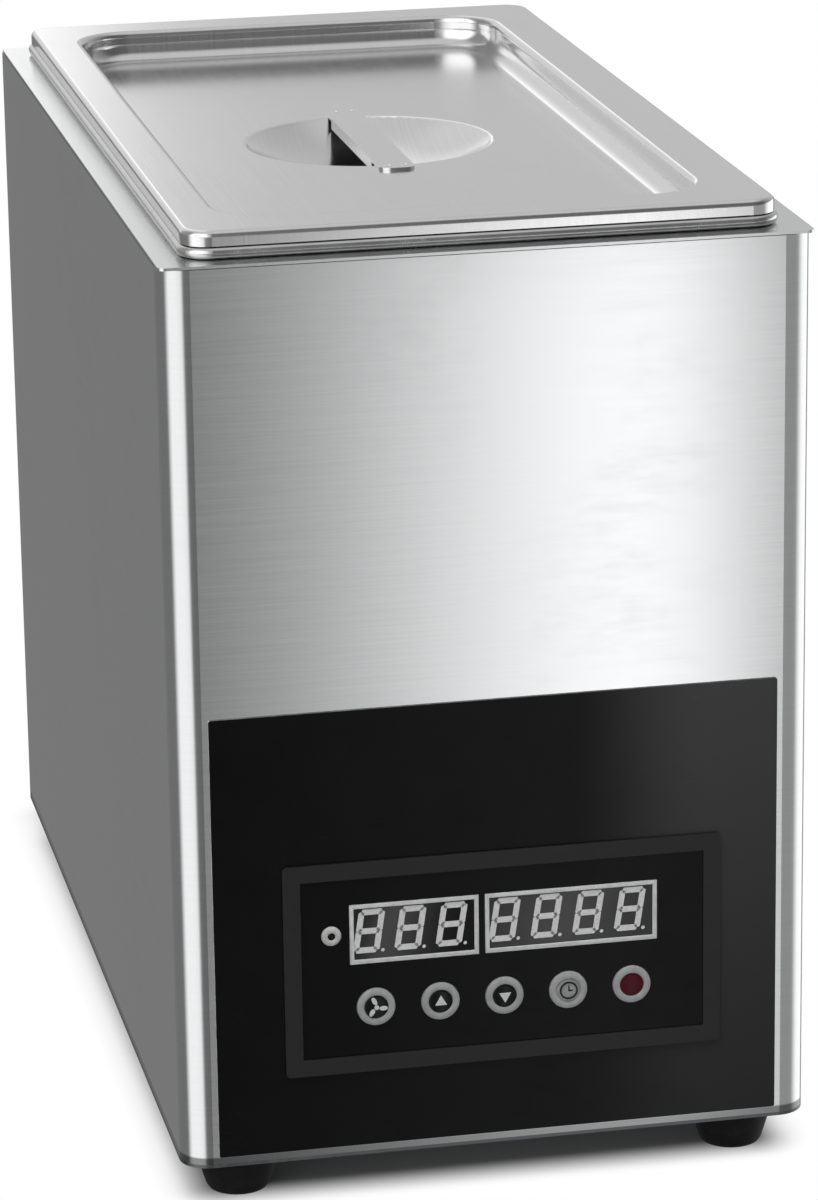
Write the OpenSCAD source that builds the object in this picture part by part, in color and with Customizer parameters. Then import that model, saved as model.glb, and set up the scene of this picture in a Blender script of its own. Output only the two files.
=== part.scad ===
// Commercial egg boiler: a sheet-metal cabinet that carries a hanging water tank, with a pressed lid,
// a wire egg basket, an immersion heater, a drain valve at the back and a keypad controller set in
// the black plate on the front.
// Millimetres. X is to the right seen from the front, Y to the back, Z up from the floor.

/* [Cabinet] */
// Width over the two sides
cabinet_w = 270; // [264:1:280]
// Depth from the front sheet to the back panel
cabinet_d = 492; // [484:1:510]
// Height of the sheet-metal body, without feet and lid
cabinet_h = 386; // [376:1:400]
// Outer radius of the two front bends
bend_r = 12.5; // [8:0.5:15]
// Thickness of the cabinet sheet
sheet = 1; // [0.8:0.1:1.2]
// Height of a rubber foot
foot_h = 20; // [16:1:25]
// Radius of a foot where it meets the cabinet
foot_r = 18; // [15:0.5:19]
// Distance of each foot centre from the cabinet's side and from its front or back
foot_inset = 27; // [24:1:32]

/* [Tank] */
// Width inside the water tank
tank_w = 220; // [216:1:222]
// Length inside the water tank
tank_d = 436; // [430:1:438]
// Depth from the tank's rim to its floor
tank_depth = 200; // [196:1:206]
// Height of the rolled rim above the top deck
rim_h = 5; // [5:0.5:6]

/* [Lid] */
// Width over the lid's skirt
lid_w = 246; // [244:0.5:250]
// Length over the lid's skirt
lid_d = 472; // [470:0.5:473]
// Height of the lid's top above the top deck
lid_rise = 11.5; // [11.5:0.5:13]
// Width of the recess pressed into the lid
recess_w = 201; // [198:0.5:203]
// Length of the recess pressed into the lid
recess_d = 422; // [412:1:424]
// Depth of the recess
recess_depth = 14; // [12:1:15]
// Radius of the hand dimple, a round dish
dimple_r = 53; // [48:1:55]
// Depth of the hand dimple below the recess
dimple_depth = 18; // [15:1:20]
// Width of the strap over the dimple
strap_w = 16; // [14:1:20]

/* [Basket] */
// Width over the basket's wires
basket_w = 200; // [196:1:204]
// Length over the basket's wires
basket_d = 408; // [400:1:410]
// Height of the basket's wire wall
basket_h = 115; // [105:1:120]
// Diameter of a basket wire
wire_d = 3; // [2.5:0.1:3.2]
// Spacing of the basket's wires
wire_pitch = 24; // [22:1:28]

/* [Front plate and controller] */
// Width of the black front plate
plate_w = 240; // [236:1:244]
// Height of the black front plate
plate_h = 192; // [186:1:194]
// Height of the front plate's lower edge above the cabinet's underside
plate_low = 4.7; // [3:0.1:6]
// Width over the controller's raised bezel
bezel_w = 186.5; // [180:0.5:190]
// Height over the controller's raised bezel
bezel_h = 93; // [90:0.5:96]
// Width of the bezel's border
bezel_border = 7.3; // [6.5:0.1:8]
// Spacing of the five keys
key_pitch = 27.4; // [26:0.1:28]
// Radius of a key cap
key_r = 8.1; // [7.5:0.1:8.3]
// Travel of a key
key_travel = 0.8; // [0.5:0.1:1]

/* [Drain] */
// Outer radius of the drain pipe
pipe_r = 10.65; // [10.65]
// Radius of the bore through pipe and ball
drain_bore_r = 7.5; // [6.5:0.1:7.6]
// Outer radius of the male outlet, a half-inch pipe thread
outlet_r = 10.48; // [10.48]

/* [Hidden] */
$fn = 48;

// Layers on the front, counted outwards from the cabinet's front sheet
plate_t = 0.8;
bezel_out = 2;
face_out = 1.2;
face_t = 1.5;
key_out = 3;
board_in = 10.4;
board_t = 1.6;

// How far the drain outlet stands out behind the back panel
valve_in = 8;
valve_mid = 27;
valve_out = 43;
outlet_len = 14;
rear_reach = valve_out + outlet_len;

// The origin is the middle of the whole footprint, keys and drain outlet included
mid_y = (key_out - rear_reach) / 2;
front_y = mid_y - cabinet_d / 2;
back_y = mid_y + cabinet_d / 2;
low_z = foot_h;
top_z = foot_h + cabinet_h;

corner_r = 3;
base_t = 1.5;
deck_t = 1.2;
seam = 0.3;
flange_w = 14;
lip_h = 12;
wrap_z = low_z + base_t;
wrap_h = cabinet_h - base_t - deck_t - seam;

tank_t = 1;
tank_r = 30;
tank_floor = top_z + rim_h - tank_depth;
tank_under = tank_floor - tank_t;
tank_fillet = 12;
rim_bend = 3;
curl_r = rim_h / 2;
rim_w = lid_w + 3;
rim_d = lid_d + 3;
rim_r = 13;
deck_gap = 1;

lid_t = 1;
lid_r = 11.5;
lid_top = top_z + lid_rise;
skirt_low = top_z + rim_h + seam;
skirt_bend = 2.5;
recess_r = 25;
recess_x = -2.5;
recess_fillet = 8;
recess_floor = lid_top - recess_depth;
dimple_x = -3;
dimple_y = mid_y - 8;
dimple_floor = recess_floor - dimple_depth;
strap_t = 1.2;
strap_lap = 11;
strap_flange = 4;

guard_z = tank_floor + 32;
guard_t = 1.2;
guard_w = tank_w - 2 * tank_fillet - 4;
guard_d = tank_d - 14;
basket_low = guard_z + guard_t + seam;
basket_top = basket_low + basket_h;
wire_r = wire_d / 2;
weld = 0.4;
basket_r = 10;
post_r = 2;
post_reach = (basket_r - post_r - 0.1) / sqrt(2);
post_x = basket_w / 2 - basket_r + post_reach;
post_y = basket_d / 2 - basket_r + post_reach;
upright_x = basket_w / 2 - wire_r - 0.03;
upright_y = basket_d / 2 - wire_r - 0.03;
wall_gap = 0.1;
wall_z = basket_low + 2 * post_r + wall_gap;
rail_levels = [0.35, 0.68];
band_t = 1.6;
band_h = 14;
handle_r = 3;
handle_w = 96;
handle_top = recess_floor - lid_t - 4.5;
handle_bend = 12;

heater_r = 4.5;
heater_z = tank_floor + 15;
heater_leg = 60;
heater_pin = 20;
heater_front = mid_y - tank_d / 2 + 92;
heater_back = mid_y + tank_d / 2 - 92;
probe_x = 82;
probe_y = mid_y - 80;

drain_x = -60;
drain_y = mid_y + tank_d / 2 - 42;
drain_bend = 25;
drain_z = tank_under - 15 - drain_bend;
valve_y = back_y + valve_mid;
ball_r = 11;
stem_r = 4;
stem_fit = 0.05;
lever_z = drain_z + 21;
lever_len = 84;

window_w = bezel_w - 2 * bezel_border + 5;
window_h = bezel_h - 2 * bezel_border + 5;
bezel_x = 2.2;
bezel_z = 84.5;
face_w = bezel_w - 2 * bezel_border - 0.2;
face_h = bezel_h - 2 * bezel_border - 0.2;
key_z = 66.6;
key_x0 = -52.5;
display_z = 99;
temperature_w = 54.8;
temperature_x = -35.7;
timer_w = 73.7;
timer_x = 31.3;
display_h = 26.2;
lamp_x = -70.9;
lamp_z = 99.3;
lamp_r = 4.2;
board_post_x = 78;
board_post_z = 33;

gland_x = 85;
gland_z = 60;
gland_bore_r = 5;
earth_x = 40;
earth_z = 45;
earth_nut_h = 5;
earth_neck_r = 2.7;

tray_z = low_z + base_t + 16;
tray_t = 1.2;
tray_w = 190;
tray_d = 180;
tray_y = mid_y - 40;

// ---- shared forms ----

// Filled rectangle with round corners, centred
module rounded_rect(w, d, r) {
    square([w - 2 * r, d], center = true);
    square([w, d - 2 * r], center = true);
    for (sx = [-1, 1], sy = [-1, 1])
        translate([sx * (w / 2 - r), sy * (d / 2 - r)]) circle(r);
}

// Wall of thickness t just outside a rounded rectangle
module rounded_wall(w, d, r, t) {
    difference() {
        rounded_rect(w + 2 * t, d + 2 * t, r + t);
        rounded_rect(w, d, r);
    }
}

// Quarter of a bent sheet, outer radius r and thickness t, in the quadrant (sx, sy)
module sheet_bend(r, t, sx, sy) {
    intersection() {
        difference() {
            circle(r);
            circle(r - t);
        }
        translate([sx > 0 ? 0 : -r, sy > 0 ? 0 : -r]) square(r);
    }
}

// Arc of a bent sheet, outer radius r and thickness t, between two directions in degrees
module sheet_arc(r, t, from, to) {
    intersection() {
        difference() {
            circle(r);
            circle(r - t);
        }
        polygon([[0, 0], 2 * r * [cos(from), sin(from)], 2 * r * [cos(to), sin(to)]]);
    }
}

// Sweeps a profile round a rounded rectangle; x counts outwards from the corner centres, y is height
module swept_frame(w, d, r) {
    for (k = [0 : 3]) {
        side = k % 2 == 0 ? w / 2 - r : d / 2 - r;
        run = k % 2 == 0 ? d - 2 * r : w - 2 * r;
        rotate([0, 0, 90 * k]) {
            translate([side, run / 2, 0]) rotate([90, 0, 0]) linear_extrude(run) children();
            translate([side, run / 2, 0]) rotate_extrude(angle = 90) children();
        }
    }
}

// Regular hexagonal prism, across flats af
module hex_prism(af, h) {
    cylinder(d = af / cos(30), h = h, $fn = 6);
}

module hex_nut(af, h, hole_r) {
    difference() {
        hex_prism(af, h);
        translate([0, 0, -1]) cylinder(r = hole_r, h = h + 2);
    }
}

module washer(r_out, r_in, h) {
    difference() {
        cylinder(r = r_out, h = h);
        translate([0, 0, -1]) cylinder(r = r_in, h = h + 2);
    }
}

// Places children on the front: X right, Y up, Z outwards; out counts from the front sheet
module on_front(x, z, out = 0) {
    translate([x, front_y - out, low_z + z]) rotate([90, 0, 0]) children();
}

// Places children on the back panel: X to the left seen from the front, Y up, Z outwards
module on_back(x, z, out = 0) {
    translate([x, back_y + out, low_z + z]) rotate([90, 0, 180]) children();
}

module at_four(x, y) {
    for (sx = [-1, 1], sy = [-1, 1]) translate([sx * x, sy * y, 0]) children();
}

// A row of slots with round ends, long along X, centred
module slot_grid(columns, rows, length, width, pitch_x, pitch_y) {
    for (i = [0 : columns - 1], j = [0 : rows - 1])
        translate([(i - (columns - 1) / 2) * pitch_x, (j - (rows - 1) / 2) * pitch_y]) {
            square([length - width, width], center = true);
            for (s = [-1, 1]) translate([s * (length - width) / 2, 0]) circle(d = width);
        }
}

// ---- cabinet ----

// Plan of the wrap filled in, inset from its outer face; a little longer at the back when inset
module wrap_plan(inset) {
    half = cabinet_w / 2 - inset;
    r = bend_r - inset;
    long = back_y - sheet - front_y - bend_r + inset;
    translate([-half, front_y + bend_r]) square([2 * half, long]);
    translate([-(half - r), front_y + inset]) square([2 * (half - r), r + 1]);
    for (s = [-1, 1]) translate([s * (half - r), front_y + bend_r]) circle(r);
}

// Front and both sides in one bent sheet, with return flanges for the back panel
module cabinet_wrap() {
    flange_x = cabinet_w / 2 - flange_w / 2;
    color("silver") difference() {
        translate([0, 0, wrap_z]) linear_extrude(wrap_h) {
            difference() {
                wrap_plan(0);
                wrap_plan(sheet);
            }
            for (s = [-1, 1])
                translate([s * flange_x, back_y - 1.5 * sheet]) square([flange_w, sheet], center = true);
        }
        on_front(bezel_x, bezel_z, -3) linear_extrude(6) square([window_w, window_h], center = true);
        back_screw_places() cylinder(r = 1.8, h = 12, center = true);
    }
}

// A stiffening lip that stands just inside the wrap
module inner_lip(h) {
    lip_w = cabinet_w - 4 * sheet;
    lip_d = cabinet_d - 5.5 * sheet;
    translate([0, mid_y - 0.75 * sheet, 0]) linear_extrude(h) difference() {
        rounded_rect(lip_w, lip_d, bend_r - 2 * sheet);
        rounded_rect(lip_w - 2 * sheet, lip_d - 2 * sheet, bend_r - 3 * sheet);
    }
}

// Flat top with a collar round the tank opening and a lip round the outside
module top_deck() {
    open_w = tank_w + 2 * tank_t + 2 * deck_gap;
    open_d = tank_d + 2 * tank_t + 2 * deck_gap;
    open_r = tank_r + tank_t + deck_gap;
    color("gainsboro") {
        translate([0, mid_y, top_z - deck_t]) linear_extrude(deck_t) difference() {
            rounded_rect(cabinet_w, cabinet_d, corner_r);
            rounded_rect(open_w, open_d, open_r);
        }
        translate([0, mid_y, top_z - lip_h]) linear_extrude(lip_h - deck_t)
            rounded_wall(open_w, open_d, open_r, sheet);
        translate([0, 0, top_z - lip_h]) inner_lip(lip_h - deck_t);
    }
}

foot_x = cabinet_w / 2 - foot_inset;
foot_y = cabinet_d / 2 - foot_inset;

// Base sheet under the wrap and the back panel, with ventilation slots under the electrics
module base_plate() {
    color("darkgray") {
        translate([0, 0, low_z]) linear_extrude(base_t) difference() {
            union() {
                wrap_plan(0);
                translate([-cabinet_w / 2, back_y - 2 * sheet]) square([cabinet_w, 2 * sheet]);
            }
            translate([0, mid_y + 120]) slot_grid(2, 9, 70, 5, 90, 12);
            translate([0, mid_y]) at_four(foot_x, foot_y) circle(r = 2.8);
            translate([0, tray_y]) at_four(tray_w / 2 - 8, tray_d / 2 - 20) circle(r = 2.1);
        }
        translate([0, 0, wrap_z]) inner_lip(lip_h);
    }
}

louvre_w = 74;
louvre_h = 7;
louvre_out = 4;
louvre_pitch = 15;

// One pressed louvre: a quarter-round hood that opens downwards
module louvre_hood() {
    difference() {
        intersection() {
            rotate([0, 90, 0]) cylinder(r = louvre_h, h = louvre_w, center = true);
            translate([-louvre_w, 0, 0]) cube([2 * louvre_w, louvre_h + 1, louvre_out + 1]);
        }
        rotate([0, 90, 0]) cylinder(r = louvre_h - sheet, h = louvre_w - 2 * sheet, center = true);
    }
}

module louvre_places() {
    for (s = [-1, 1], k = [0 : 5]) on_back(s * 52, 212 + k * louvre_pitch) children();
}

module back_screw_places() {
    for (s = [-1, 1], h = [30, 140, 250, 355]) on_back(s * (cabinet_w / 2 - 8), h) children();
}

// Flat back with louvres and the holes for drain, mains gland and earth stud
module back_panel() {
    panel_h = wrap_h - seam;
    color("silver") difference() {
        union() {
            translate([-cabinet_w / 2, back_y - sheet, wrap_z + seam / 2]) cube([cabinet_w, sheet, panel_h]);
            louvre_places() louvre_hood();
        }
        louvre_places() translate([0, (louvre_h - sheet) / 2, 0])
            cube([louvre_w - 2 * sheet, louvre_h - sheet, 3 * sheet], center = true);
        back_screw_places() cylinder(r = 2.15, h = 12, center = true);
        on_back(drain_x, drain_z - low_z) cylinder(r = pipe_r + 0.6, h = 12, center = true);
        on_back(gland_x, gland_z) cylinder(r = 8.2, h = 12, center = true);
        on_back(earth_x, earth_z) cylinder(r = 3.2, h = 12, center = true);
    }
}

module back_screws() {
    color("lightgray") back_screw_places() {
        translate([0, 0, -7]) cylinder(r = 1.5, h = 7);
        difference() {
            cylinder(r1 = 3.9, r2 = 2.8, h = 2.2);
            for (a = [0, 90]) rotate([0, 0, a]) translate([0, 0, 2]) cube([3.6, 0.8, 1.6], center = true);
        }
    }
}

// Tapered rubber foot with a pocket for its screw head
module foot(sx, sy) {
    low_r = foot_r - 4.5;
    color("#1c1c1e") translate([sx * foot_x, mid_y + sy * foot_y, 0]) difference() {
        rotate_extrude() {
            polygon([[0, 0], [low_r - 3, 0], [low_r - 1, 0.6], [low_r, 2], [low_r + 1, 5],
                     [foot_r - 0.6, foot_h - 5], [foot_r, foot_h - 2.5], [foot_r, foot_h], [0, foot_h]]);
        }
        translate([0, 0, -1]) cylinder(r = 5.2, h = foot_h - 9);
        translate([0, 0, -1]) cylinder(r = 2.8, h = foot_h + 2);
    }
}

module foot_screws() {
    head_z = foot_h - 10;
    color("lightgray") translate([0, mid_y, 0]) at_four(foot_x, foot_y) {
        translate([0, 0, head_z - 3.5]) difference() {
            cylinder(r = 4.6, h = 3.5);
            translate([0, 0, -1]) hex_prism(3, 3);
        }
        translate([0, 0, head_z]) cylinder(r = 2.5, h = 20);
    }
}

module foot_nuts() {
    color("lightgray") translate([0, mid_y, low_z + base_t]) at_four(foot_x, foot_y) hex_nut(8, 4, 2.55);
}

// ---- water tank and what is fitted in it ----

// Deep tank with a rolled rim that hangs on the top deck
module water_tank() {
    wall_low = tank_floor + tank_fillet;
    wall_high = top_z + rim_h - rim_bend;
    color("gainsboro") translate([0, mid_y, 0]) difference() {
        union() {
            translate([0, 0, top_z]) swept_frame(rim_w, rim_d, rim_r)
                translate([rim_r - curl_r, curl_r]) {
                    sheet_bend(curl_r, tank_t, 1, 1);
                    sheet_bend(curl_r, tank_t, 1, -1);
                }
            translate([0, 0, top_z + rim_h - tank_t]) linear_extrude(tank_t) difference() {
                rounded_rect(rim_w - 2 * curl_r, rim_d - 2 * curl_r, rim_r - curl_r);
                rounded_rect(tank_w + 2 * rim_bend, tank_d + 2 * rim_bend, tank_r + rim_bend);
            }
            translate([0, 0, wall_high]) swept_frame(tank_w, tank_d, tank_r)
                translate([tank_r + rim_bend, 0]) sheet_bend(rim_bend, tank_t, -1, 1);
            translate([0, 0, wall_low]) linear_extrude(wall_high - wall_low)
                rounded_wall(tank_w, tank_d, tank_r, tank_t);
            translate([0, 0, wall_low]) swept_frame(tank_w, tank_d, tank_r)
                translate([tank_r - tank_fillet, 0]) sheet_bend(tank_fillet + tank_t, tank_t, 1, -1);
            translate([0, 0, tank_under]) linear_extrude(tank_t)
                rounded_rect(tank_w - 2 * tank_fillet, tank_d - 2 * tank_fillet, tank_r - tank_fillet);
        }
        translate([0, -mid_y, 0]) tank_holes();
    }
}

module tank_holes() {
    for (s = [-1, 1])
        translate([s * heater_pin, heater_front + 14, tank_under - 1]) cylinder(r = 7.2, h = 4);
    translate([probe_x, probe_y, tank_under - 1]) cylinder(r = 4.2, h = 4);
    translate([drain_x, drain_y, tank_under - 1]) cylinder(r = drain_bore_r + 0.5, h = 4);
}

// Slotted plate that keeps the basket off the heater
module heater_guard() {
    drop = guard_z - tank_floor;
    color("lightgray") translate([0, mid_y, 0]) {
        translate([0, 0, guard_z]) linear_extrude(guard_t) difference() {
            rounded_rect(guard_w, guard_d, 10);
            slot_grid(2, 20, 76, 8, 90, 20);
        }
        for (s = [-1, 1]) difference() {
            translate([s * (guard_w / 2 - guard_t / 2 - 0.4), 0, tank_floor + drop / 2])
                cube([guard_t, guard_d - 60, drop], center = true);
            for (k = [-2 : 2]) translate([s * guard_w / 2, k * 66, tank_floor + 6])
                cube([8, 44, 22], center = true);
        }
    }
}

// Straight stretch of heater tube along Y
module heater_run(x, y0, y1) {
    translate([x, y0, heater_z]) rotate([-90, 0, 0]) cylinder(r = heater_r, h = y1 - y0);
}

// Half-round bend of the heater tube in the plane of its runs
module heater_turn(x, y, r, back) {
    translate([x, y, heater_z]) rotate([0, 0, back ? 0 : 180])
        rotate_extrude(angle = 180) translate([r, 0]) circle(heater_r);
}

// Four-run tubular heater: two hairpins joined by one wide bend, both ends down through the floor
module heating_element() {
    rise_r = 14;
    hairpin_r = (heater_leg - heater_pin) / 2;
    hairpin_x = (heater_leg + heater_pin) / 2;
    color("dimgray") {
        for (s = [-1, 1]) {
            heater_run(s * heater_leg, heater_front, heater_back);
            heater_run(s * heater_pin, heater_front + 14 + rise_r, heater_back);
            heater_turn(s * hairpin_x, heater_back, hairpin_r, true);
            translate([s * heater_pin, heater_front + 14, 0]) {
                translate([0, rise_r, heater_z - rise_r]) rotate([0, 0, 90]) rotate([90, 0, 0])
                    rotate_extrude_arc(rise_r);
                translate([0, 0, tank_under - 22])
                    cylinder(r = heater_r, h = heater_z - rise_r - tank_under + 22);
                translate([0, 0, tank_under - 8]) cylinder(r = 7, h = 10.5);
                translate([0, 0, tank_floor + 1.5]) cylinder(r = 10, h = 3);
                translate([0, 0, tank_under - 32]) cylinder(r = 1.8, h = 10.5);
            }
        }
        heater_turn(0, heater_front, heater_leg, false);
    }
}

// Quarter bend from straight up to level, its centre at the origin
module rotate_extrude_arc(r) {
    rotate([0, 0, 90]) rotate_extrude(angle = 90) translate([r, 0]) circle(heater_r);
}

module heater_seals() {
    color("firebrick") for (s = [-1, 1])
        translate([s * heater_pin, heater_front + 14, tank_floor]) washer(10, 7.05, 1.5);
}

module heater_nuts() {
    color("goldenrod") for (s = [-1, 1])
        translate([s * heater_pin, heater_front + 14, tank_under - 6]) hex_nut(20, 6, 7.05);
}

// Sheathed sensor that stands up into the water beside the heater
module temperature_probe() {
    color("lightgray") translate([probe_x, probe_y, 0]) {
        translate([0, 0, tank_under - 16]) cylinder(r = 3, h = 42);
        translate([0, 0, tank_under + 26]) sphere(r = 3);
        translate([0, 0, tank_under - 10]) cylinder(r = 4, h = 12);
        translate([0, 0, tank_floor]) cylinder(r = 7, h = 3);
    }
}

module probe_nut() {
    color("goldenrod") translate([probe_x, probe_y, tank_under - 5]) hex_nut(13, 5, 4.05);
}

// Snap-disc limiter clipped against the tank's underside
module dry_boil_thermostat() {
    color("#3a3a3c") translate([0, mid_y + 20, tank_under]) {
        translate([0, 0, -1.2]) cylinder(r = 9, h = 1.2);
        translate([0, 0, -10]) cylinder(r = 7.8, h = 9);
        translate([0, 0, -1]) cube([30, 9, 2], center = true);
        for (s = [-1, 1]) translate([s * 3.6, 0, -14]) cube([0.8, 6, 9], center = true);
    }
}

// ---- drain ----

// Outer or inner form of the elbow, from the tank's floor to the valve
module drain_run(r, over) {
    translate([drain_x, drain_y, drain_z + drain_bend]) cylinder(r = r, h = 15 + over);
    translate([drain_x, drain_y + drain_bend, drain_z + drain_bend]) rotate([0, 0, 90]) rotate([90, 0, 0])
        rotate([0, 0, 180]) rotate_extrude(angle = 90) translate([drain_bend, 0]) circle(r);
    translate([drain_x, drain_y + drain_bend, drain_z]) rotate([-90, 0, 0])
        cylinder(r = r, h = back_y + 18 - drain_y - drain_bend + over);
}

module drain_pipe() {
    color("silver") difference() {
        drain_run(pipe_r, 0);
        drain_run(drain_bore_r, 1);
    }
}

module pipe_locknut() {
    color("goldenrod") on_back(drain_x, drain_z - low_z) hex_nut(30, 6, pipe_r + 0.05);
}

// Places children on the valve's axis: Z outwards from the back panel, Y up
module on_valve(out) {
    translate([drain_x, back_y + out, drain_z]) rotate([-90, 0, 0]) children();
}

// Ball valve housing: hexagon inlet, round middle with a stem boss, open at the outlet end
module valve_body() {
    boss_h = lever_z - drain_z - 3;
    color("goldenrod") difference() {
        union() {
            on_valve(valve_in) rotate([0, 0, 30]) hex_prism(27, 10);
            on_valve(valve_in + 8) cylinder(r = 15.5, h = valve_mid - valve_in + 1);
            on_valve(valve_mid + 9) cylinder(r = 15.5, h = 3);
            translate([drain_x, valve_y, drain_z]) cylinder(r = 7, h = boss_h);
            translate([drain_x, valve_y, drain_z + boss_h - 5]) hex_prism(16, 5);
        }
        translate([drain_x, valve_y, drain_z]) sphere(r = ball_r + seam);
        on_valve(valve_in - 1) cylinder(r = pipe_r + 0.05, h = 11);
        on_valve(valve_in) cylinder(r = drain_bore_r, h = 20);
        on_valve(valve_mid) cylinder(r = ball_r + seam, h = 30);
        translate([drain_x, valve_y, drain_z]) cylinder(r = stem_r + stem_fit, h = 40);
    }
}

// End piece that closes the housing and carries the male outlet
module valve_end() {
    color("goldenrod") difference() {
        union() {
            on_valve(valve_mid + 6) cylinder(r = ball_r + 0.25, h = 8);
            on_valve(valve_mid + 12) rotate([0, 0, 30]) hex_prism(27, valve_out - valve_mid - 12);
            on_valve(valve_out - 1) cylinder(r = outlet_r, h = outlet_len + 1);
        }
        translate([drain_x, valve_y, drain_z]) sphere(r = ball_r + seam);
        on_valve(valve_mid) cylinder(r = drain_bore_r, h = 60);
    }
}

slot_w = 4;
slot_z = 8.5;

// Ball shown closed: its bore lies across the pipe
module drain_ball() {
    color("lightgray") translate([drain_x, valve_y, drain_z]) difference() {
        sphere(r = ball_r);
        rotate([0, 90, 0]) cylinder(r = drain_bore_r, h = 40, center = true);
        translate([0, 0, slot_z + 5]) cube([slot_w, 30, 10], center = true);
    }
}

module drain_stem() {
    color("lightgray") translate([drain_x, valve_y, 0]) {
        intersection() {
            translate([0, 0, drain_z + slot_z + 0.1]) cylinder(r = stem_r, h = 6);
            translate([0, 0, drain_z + slot_z + 3]) cube([slot_w - 0.2, 20, 8], center = true);
        }
        translate([0, 0, drain_z + ball_r + 0.4]) cylinder(r = stem_r, h = lever_z - drain_z - ball_r - 0.4);
        translate([0, 0, lever_z]) cylinder(r = 2.5, h = 9);
    }
}

// Flat lever with a hub, a step up and a straight grip
module drain_lever() {
    color("silver") translate([drain_x, valve_y, lever_z]) difference() {
        union() {
            cylinder(r = 9, h = 2.5);
            translate([0, -6, 0]) cube([26, 12, 2.5]);
            translate([26, 6, 0]) rotate([90, 0, 0]) linear_extrude(12)
                polygon([[-2, 0], [0, 0], [8, 7.5], [8, 10], [6, 10], [-2, 2.5]]);
            translate([32, -6, 7.5]) cube([lever_len - 32 - 6, 12, 2.5]);
            translate([lever_len - 6, 0, 7.5]) cylinder(r = 6, h = 2.5);
        }
        translate([0, 0, -1]) cylinder(r = 2.55, h = 5);
    }
}

// Dipped vinyl sleeve over the lever's grip
module lever_grip() {
    grip_x = 40;
    color("firebrick") translate([drain_x, valve_y, lever_z + 8.75]) difference() {
        union() {
            translate([grip_x, 0, 0]) rotate([0, 90, 0]) linear_extrude(lever_len - grip_x - 2)
                rounded_rect(6, 15.5, 2.8);
            translate([lever_len - 6, 0, -3]) cylinder(r = 7.7, h = 6);
        }
        translate([grip_x - 1, -6.02, -1.27]) cube([lever_len - grip_x - 5, 12.04, 2.54]);
        translate([lever_len - 6, 0, -1.27]) cylinder(r = 6.02, h = 2.54);
    }
}

module lever_nut() {
    color("lightgray") translate([drain_x, valve_y, lever_z + 2.5]) hex_nut(8, 4, 2.55);
}

// ---- lid ----

// Pressed lid: skirt, flat rim, filleted recess and round hand dimple in one sheet
module lid_shell() {
    color("gainsboro") translate([0, mid_y, 0]) {
        lid_skirt();
        translate([0, 0, lid_top - lid_t]) linear_extrude(lid_t) difference() {
            rounded_rect(lid_w - 2 * skirt_bend, lid_d - 2 * skirt_bend, lid_r - skirt_bend);
            translate([recess_x, 0])
                rounded_rect(recess_w + 2 * rim_bend, recess_d + 2 * rim_bend, recess_r + rim_bend);
        }
        translate([recess_x, 0, 0]) lid_recess();
    }
    color("gainsboro") translate([dimple_x, dimple_y, 0]) lid_dimple();
}

module lid_skirt() {
    bend_z = lid_top - skirt_bend;
    translate([0, 0, bend_z]) swept_frame(lid_w, lid_d, lid_r)
        translate([lid_r - skirt_bend, 0]) sheet_bend(skirt_bend, lid_t, 1, 1);
    translate([0, 0, skirt_low]) linear_extrude(bend_z - skirt_low)
        rounded_wall(lid_w - 2 * lid_t, lid_d - 2 * lid_t, lid_r - lid_t, lid_t);
}

module lid_recess() {
    wall_high = lid_top - rim_bend;
    wall_low = recess_floor + recess_fillet;
    translate([0, 0, wall_high]) swept_frame(recess_w, recess_d, recess_r)
        translate([recess_r + rim_bend, 0]) sheet_bend(rim_bend, lid_t, -1, 1);
    translate([0, 0, wall_low]) linear_extrude(wall_high - wall_low)
        rounded_wall(recess_w, recess_d, recess_r, lid_t);
    translate([0, 0, wall_low]) swept_frame(recess_w, recess_d, recess_r)
        translate([recess_r - recess_fillet, 0]) sheet_bend(recess_fillet + lid_t, lid_t, 1, -1);
    translate([0, 0, recess_floor - lid_t]) linear_extrude(lid_t) difference() {
        rounded_rect(recess_w - 2 * recess_fillet, recess_d - 2 * recess_fillet, recess_r - recess_fillet);
        translate([dimple_x - recess_x, dimple_y - mid_y]) circle(dimple_r + rim_bend);
    }
}

// Round dish with a bent rim; the dish lies a touch deeper than tangent to the bend, so the two overlap
module lid_dimple() {
    lap = 0.05;
    rim_x = dimple_r + rim_bend;
    apart = (rim_x * rim_x + dimple_depth * dimple_depth) / (2 * dimple_depth);
    slope = asin(rim_x / apart);
    dish_r = apart - rim_bend + lap;
    rotate_extrude() {
        translate([rim_x, recess_floor - rim_bend]) sheet_arc(rim_bend, lid_t, 90, 110 + slope);
        translate([0, dimple_floor + apart - rim_bend]) sheet_arc(dish_r + lid_t, lid_t, -90, slope - 90);
    }
}

// Channel-section strap that bridges the dimple, with a flat tab welded down at each end
module lid_strap() {
    span = 2 * (dimple_r - 6);
    length = 2 * (dimple_r + rim_bend + strap_lap);
    color("silver") translate([dimple_x, dimple_y, recess_floor]) {
        linear_extrude(strap_t) rounded_rect(strap_w, length, 5);
        for (s = [-1, 1]) translate([s * (strap_w / 2 - strap_t / 2), 0, (strap_t - strap_flange) / 2])
            cube([strap_t, span, strap_flange + strap_t - 0.4], center = true);
    }
}

// ---- egg basket ----

// Straight wire along X, centred
module wire_x(length) {
    rotate([0, 90, 0]) cylinder(r = wire_r, h = length, center = true);
}

// Straight wire along Y, centred
module wire_y(length) {
    rotate([90, 0, 0]) cylinder(r = wire_r, h = length, center = true);
}

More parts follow.
